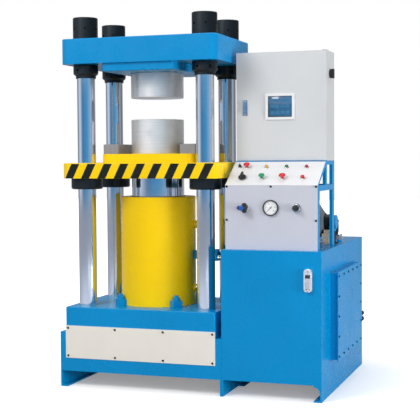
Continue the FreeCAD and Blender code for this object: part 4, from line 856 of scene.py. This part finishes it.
def knurl(name, finish, body, spot, axis, start, length, inner, outer, teeth):
    """A band of straight knurling that fades out at both ends, in millimetres."""
    bm = bmesh.new()
    along, first, second = across(axis)
    end, faded = start + length, outer - FADE
    profile = ((start, faded), (start + RUN_OUT, outer), (end - RUN_OUT, outer), (end, faded))
    turned(bm, spot, axis, profile, 2 * teeth)
    for vert in bm.verts:
        out = vert.co - Vector(spot)
        out -= along * out.dot(along)
        line = round(math.atan2(out.dot(second), out.dot(first)) * teeth / math.pi)
        if line % 2 == 0:
            vert.co -= out.normalized() * ((outer - inner) * MM)
    close_ends(bm)
    piece(name, bm, finish, body)


knurl("valve_knurl", "black_plastic", "right_valve", right_spot, FRONT, -21, 17, 13.0, 13.7, 36)
cap_low, cap_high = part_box("filler_cap")
cap_spot = middle("filler_cap")
cap_spot.z = cap_low.z
cap_r = (cap_high.x - cap_low.x) / 2 / MM
knurl("filler_cap_knurl", "bright_plating", "filler_cap", cap_spot, UP, 4, 24,
      cap_r + 0.1, cap_r + 1.0, 60)
print("two knurls")

# %% [markdown]
# ## Operator screen and lock
# The screen's CAD has its bezel and case. In front of it goes the display: a blue-grey glass plate
# with a few softly lit fields, and a thin black border where the real glass is masked. Beside it,
# the lock gets its key barrel. All of them ride on the door.

# %% Display, border and barrel
screen_low, screen_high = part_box("touch_panel")
glass_y = screen_low.y + 2 * MM
BORDER_IN, DISPLAY_IN = 17.3 * MM, 22 * MM


def screen_layer(name, finish, inset, front, back, rounding):
    """A plate inside the bezel, between two distances in front of the glass, in millimetres."""
    bm = bmesh.new()
    block(bm, (screen_low.x + inset, glass_y - front * MM, screen_low.z + inset),
          (screen_high.x - inset, glass_y - back * MM, screen_high.z - inset), rounding)
    piece(name, bm, finish, "door")


screen_layer("display_border", "black_plastic", BORDER_IN, 0.7, 0.1, 0.15)
screen_layer("display", "display_blue", DISPLAY_IN, 0.95, 0.6, 0.1)

# Each field's left edge and width are shares of the display, in rows that start at these heights.
FIELD_ROWS = (
    (0.74, ((0.07, 0.40), (0.53, 0.40))),
    (0.44, ((0.07, 0.40), (0.53, 0.40))),
    (0.12, ((0.07, 0.20), (0.30, 0.20), (0.53, 0.20), (0.76, 0.17))),
)
FIELD_TALL = 0.15
bm = bmesh.new()
wide = screen_high.x - screen_low.x - 2 * DISPLAY_IN
tall = screen_high.z - screen_low.z - 2 * DISPLAY_IN
for row, fields in FIELD_ROWS:
    z0 = screen_low.z + DISPLAY_IN + row * tall
    for column, span in fields:
        x0 = screen_low.x + DISPLAY_IN + column * wide
        block(bm, (x0, glass_y - 1.02 * MM, z0),
              (x0 + span * wide, glass_y - 0.9 * MM, z0 + FIELD_TALL * tall))
piece("display_fields", bm, "display_pale", "door")

lock_low, lock_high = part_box("lock_plate")
barrel_spot = Vector(((lock_low.x + lock_high.x) / 2, lock_low.y, lock_low.z + 8 * MM))
BARREL = ((-0.5, 0), (-0.5, 4.6), (1.6, 4.6), (2.1, 4.1), (2.1, 2.6), (1.2, 2.4), (1.2, 0))
turned_piece("key_barrel", "machined_steel", barrel_spot, FRONT, BARREL, 24, "door")
print("screen and lock dressed")

# %% [markdown]
# ## Level gauge
# The sight gauge on the tank shows the oil in a clear tube. Above it sits a dark thermometer
# block, and two screws hold the case at its ends. New hydraulic oil is a pale straw colour, and it
# fills the lower part of the tube.

# %% Tube, oil and screws
sight_low, sight_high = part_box("level_gauge")
sight = Vector(((sight_low.x + sight_high.x) / 2, sight_low.y, 0))
slot_low, slot_high = sight_low.z + 11 * MM, sight_high.z - 33 * MM
TUBE_BACK = 6.5
TUBE_R, OIL_R, OIL_TALL = 5.0, 3.9, 62
tube_tall = (slot_high - slot_low) / MM - 4
TUBE = ((0, 0), (0, TUBE_R), (tube_tall, TUBE_R), (tube_tall, 0))
OIL = ((0, 0), (0, OIL_R), (OIL_TALL, OIL_R), (OIL_TALL, 0))
foot = sight + mm(0, TUBE_BACK, 2) + UP * slot_low
turned_piece("sight_tube", "clear_glass", foot, UP, TUBE, 24)
turned_piece("sight_oil", "oil_amber", foot + mm(0, 0, 0.5), UP, OIL, 20)

LEVEL_MARKS, FIRST_MARK, MARK_STEP = 7, 10, 9
bm = bmesh.new()
block(bm, (sight_low.x + 12 * MM, sight.y + 1 * MM, slot_high - 24 * MM),
      (sight_high.x - 12 * MM, sight.y + 8 * MM, slot_high - 4 * MM), 1.0)
for step in range(LEVEL_MARKS):
    z0 = slot_low + (FIRST_MARK + MARK_STEP * step) * MM
    block(bm, (sight_low.x + 11.4 * MM, sight.y + 7.2 * MM, z0),
          (sight.x - 6 * MM, sight.y + 7.9 * MM, z0 + 1 * MM))
piece("sight_block", bm, "black_plastic")

SIGHT_SCREW = ((-0.6, 0), (-0.6, 3.2), (1.6, 3.2), (2.2, 2.6), (2.2, 1.6, 6), (1.0, 1.5, 6),
               (0.9, 0))
bm = bmesh.new()
for x in (-9, 9):
    turned(bm, sight + mm(x, 8, 5) + UP * slot_low, FRONT, SIGHT_SCREW, 24)
for z in (sight_low.z + 5.4 * MM, sight_high.z - 16 * MM):
    turned(bm, sight + mm(0, 0.3, 0) + UP * z, FRONT, SIGHT_SCREW, 24)
piece("sight_screws", bm, "black_oxide")
print("level gauge dressed")

# %% [markdown]
# ## Pipe fittings
# Each oil pipe ends in a compression fitting: a hex nut that squeezes a cutting ring onto the
# pipe, on a hex body screwed into the port. The fittings could be bought-in CAD parts, but they
# carry no motion and hide the pipe's end, so they are turned here from one profile.

# %% Compression nuts
FITTING = ((-1, 0), (-1, 17), (1.5, 19.5, 6), (11, 19.5, 6), (12.5, 16.5), (15, 14.5), (17.5, 16.5),
           (19, 18, 6), (33, 18, 6), (35.5, 14.5), (36, 11.2), (36, 0))
PORT_SIDE, PORT_IN = 18 * MM, 20 * MM
RETURN_DROP = 110 * MM
ELBOW = 14.7 * MM  # from a pipe's outside to its centre line
block_low, block_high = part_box("valve_block")
pump_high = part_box("pump")[1]
barrel_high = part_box("cylinder_barrel")[1]
tank_low, tank_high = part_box("oil_tank")
shaft = middle("motor_rotor")
block_y = (block_low.y + block_high.y) / 2
ends = [
    ((block_high.x, block_y + PORT_SIDE, block_high.z - PORT_IN), RIGHT),
    ((block_high.x, block_y - PORT_SIDE, block_low.z + PORT_IN), RIGHT),
    ((middle("suction_line").x, pump_high.y, shaft.z), -FRONT),
    ((tank_low.x, block_y - PORT_SIDE, block_low.z - RETURN_DROP), -RIGHT),
]
for low, high in islands("oil_pipes"):
    if low.x > barrel_high.x + 1 * MM:
        continue
    below = low.z < block_low.z
    port_z = low.z + ELBOW if below else high.z - ELBOW
    block_z = block_low.z if below else block_high.z
    ends.append(((barrel_high.x, block_y, port_z), RIGHT))
    ends.append(((high.x - ELBOW, block_y, block_z), -UP if below else UP))
bm = bmesh.new()
for spot, axis in ends:
    turned(bm, spot, axis, FITTING, 36)
piece("pipe_fittings", bm, "zinc_plate")
print(len(ends), "fittings")

# %% [markdown]
# ## Welds
# The tank is welded from plate, and so is its hand-hole neck. A weld bead is a low ridge of
# overlapping ripples. A smooth fillet would look moulded. So a half-round section is swept along
# each seam and cut into short rings, and each ring swells or shrinks a little unevenly.

# %% Weld beads
SEAM_STEP = 5.0
SWELL, SHRINK, UNEVEN = 0.13, -0.06, 0.07
ARC_POINTS, SHOULDER = 5, 0.93
ROOT = 0.4 * MM
dice = random.Random(7)


def weld(bm, start, end, out_one, out_two, size):
    """A rippled bead in the corner between two faces, whose outward directions are given."""
    start, end = Vector(start), Vector(end)
    seam = end - start
    count = max(2, int(seam.length / (SEAM_STEP * MM)))
    swell = [1.0 + (SWELL if step % 2 else SHRINK) + dice.uniform(-UNEVEN, UNEVEN)
             for step in range(count + 1)]
    bead = bmesh.new()
    section = []
    for turn in range(ARC_POINTS):
        angle = math.pi / 2 * turn / (ARC_POINTS - 1)
        reach = size * MM * (1.0 if turn in (0, ARC_POINTS - 1) else SHOULDER)
        way = out_one * math.cos(angle) + out_two * math.sin(angle)
        section.append(bead.verts.new(start + way * reach))
    section.append(bead.verts.new(start - (out_one + out_two) * ROOT))
    ring = [bead.edges.new(pair) for pair in zip(section, section[1:] + section[:1])]
    swept = bmesh.ops.extrude_edge_only(bead, edges=ring)["geom"]
    far = [item for item in swept if isinstance(item, bmesh.types.BMVert)]
    bmesh.ops.translate(bead, verts=far, vec=seam)
    lengths = [edge for vert in section for edge in vert.link_edges if edge.other_vert(vert) in far]
    bmesh.ops.subdivide_edges(bead, edges=lengths, cuts=count - 1)
    for vert in bead.verts:
        share = (vert.co - start).dot(seam) / seam.length_squared
        out = vert.co - start.lerp(end, share)
        if out.dot(out_one + out_two) > 0:
            vert.co += out * (swell[round(share * count)] - 1)
    close_ends(bead)
    join(bm, bead)


lid_low, lid_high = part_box("tank_side_cover")
base_low, base_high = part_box("base_frame")
NECK_IN, LID_OUT, PLATE = 8 * MM, 50 * MM, 10 * MM
END_GAP, REAR_GAP = 4 * MM, 80 * MM
NECK_BEAD, BASE_BEAD = 5, 6
side_x = lid_low.x - LID_OUT
y0, y1 = lid_low.y + NECK_IN, lid_high.y - NECK_IN
z0, z1 = lid_low.z + NECK_IN, lid_high.z - NECK_IN
bm = bmesh.new()
weld(bm, (side_x, y0, z1), (side_x, y1, z1), RIGHT, UP, NECK_BEAD)
weld(bm, (side_x, y0, z0), (side_x, y1, z0), RIGHT, -UP, NECK_BEAD)
weld(bm, (side_x, y0, z0), (side_x, y0, z1), RIGHT, FRONT, NECK_BEAD)
weld(bm, (side_x, y1, z0), (side_x, y1, z1), RIGHT, -FRONT, NECK_BEAD)
seam_x = base_low.x + PLATE
weld(bm, (seam_x, base_low.y + END_GAP, PLATE), (seam_x, base_high.y - END_GAP, PLATE),
     RIGHT, UP, BASE_BEAD)
seam_x = side_x - PLATE
weld(bm, (seam_x, tank_low.y + END_GAP, PLATE), (seam_x, tank_high.y - REAR_GAP, PLATE),
     -RIGHT, UP, BASE_BEAD)
piece("weld_beads", bm, "blue_paint")
print("beads:", len(made[-1].data.vertices), "points")

# %% [markdown]
# ## Motor and switch cabinet
# Air reaches the motor's fan through a round grille on its cowl. Inside the cabinet, devices snap
# on steel rails, between slotted ducts for the wires, and every breaker has a toggle. A soft strip
# round the opening keeps dust out. These show from behind and with the door open.

# %% Fan grille
cowl = Vector((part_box("motor_housing")[0].x, shaft.y, shaft.z))
HUB = ((-1, 0), (-1, 14), (3, 14), (3.5, 13), (3.5, 0))
WIRE = ((0, -2), (2.6, -1.6), (3, 0), (2.6, 1.6), (0, 2), (0, -2))
FIRST_WIRE, LAST_WIRE, WIRE_STEP = 26, 106, 10
SPOKES, SPOKE_HALF = 6, 2.5
bm = bmesh.new()
turned(bm, cowl, -RIGHT, HUB, 32)
for radius in range(FIRST_WIRE, LAST_WIRE + 1, WIRE_STEP):
    turned(bm, cowl, -RIGHT, [(lift, radius + out) for lift, out in WIRE], 48)
for spoke in range(SPOKES):
    place = Matrix.Translation(cowl) @ Matrix.Rotation(math.tau * spoke / SPOKES, 4, "X")
    block(bm, mm(-2.4, -SPOKE_HALF, 12), mm(0.5, SPOKE_HALF, LAST_WIRE), 0.6, place)
piece("fan_grille", bm, "black_plastic")
print("grille on the cowl")

# %% Rails and ducts
plate_low, plate_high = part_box("mounting_plate")
devices = islands("switchgear")
rows = sorted({round((low.z + high.z) / 2, 3) for low, high in devices})
RAIL_IN, RAIL_DEEP, RAIL_HALF = 25, 7, 17
bm = bmesh.new()
for z in rows:
    block(bm, (plate_low.x + RAIL_IN * MM, plate_low.y - RAIL_DEEP * MM, z - RAIL_HALF * MM),
          (plate_high.x - RAIL_IN * MM, plate_low.y, z + RAIL_HALF * MM), 0.8)
piece("device_rails", bm, "zinc_plate")

DUCT_IN, DUCT_DEEP, DUCT_HALF, END_DUCT = 10, 45, 18, 20
FINGER, FINGER_STEP, FINGER_OUT = 7, 12, 0.8
between = [(a + b) / 2 for a, b in zip(rows, rows[1:])]
lanes = [plate_low.z + END_DUCT * MM, *between, plate_high.z - END_DUCT * MM]
bm = bmesh.new()
for z in lanes:
    low = Vector((plate_low.x, plate_low.y, z)) + mm(DUCT_IN, -DUCT_DEEP, -DUCT_HALF)
    high = Vector((plate_high.x, plate_low.y, z)) + mm(-DUCT_IN, 0, DUCT_HALF)
    block(bm, low, high, 0.8)
    for step in range(int((high.x - low.x) / (FINGER_STEP * MM))):
        left = low + mm(4 + FINGER_STEP * step, 5, -FINGER_OUT)
        block(bm, left, (left.x + FINGER * MM, high.y - 6 * MM, high.z + FINGER_OUT * MM))
piece("wire_ducts", bm, "grey_plastic")
print(len(rows), "rails and", len(lanes), "ducts")

# %% Toggles and the door seal
bm = bmesh.new()
for low, high in devices:
    top = Vector(((low.x + high.x) / 2, low.y, (low.z + high.z) / 2))
    block(bm, top + mm(-5, -9, -2), top + mm(5, 1, 9), 1.5)
    block(bm, low + mm(3, -0.8, 5), (high.x - 3 * MM, low.y + 1 * MM, low.z + 12 * MM), 0.3)
piece("device_toggles", bm, "black_plastic")

door_low, door_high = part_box("cabinet_door")
seal_y = door_high.y + 2 * MM
OUTER, INNER = 3 * MM, 12 * MM
x0, x1, x2, x3 = door_low.x + OUTER, door_low.x + INNER, door_high.x - INNER, door_high.x - OUTER
z0, z1, z2, z3 = door_low.z + OUTER, door_low.z + INNER, door_high.z - INNER, door_high.z - OUTER
bm = bmesh.new()
strips = ((x0, x3, z0, z1), (x0, x3, z2, z3), (x0, x1, z1, z2), (x2, x3, z1, z2))
for left, right, low, high in strips:
    block(bm, (left, seal_y - 1.2 * MM, low), (right, seal_y + 0.2 * MM, high), 0.3)
piece("door_seal", bm, "wiper_rubber")
print("cabinet dressed:", len(devices), "devices")
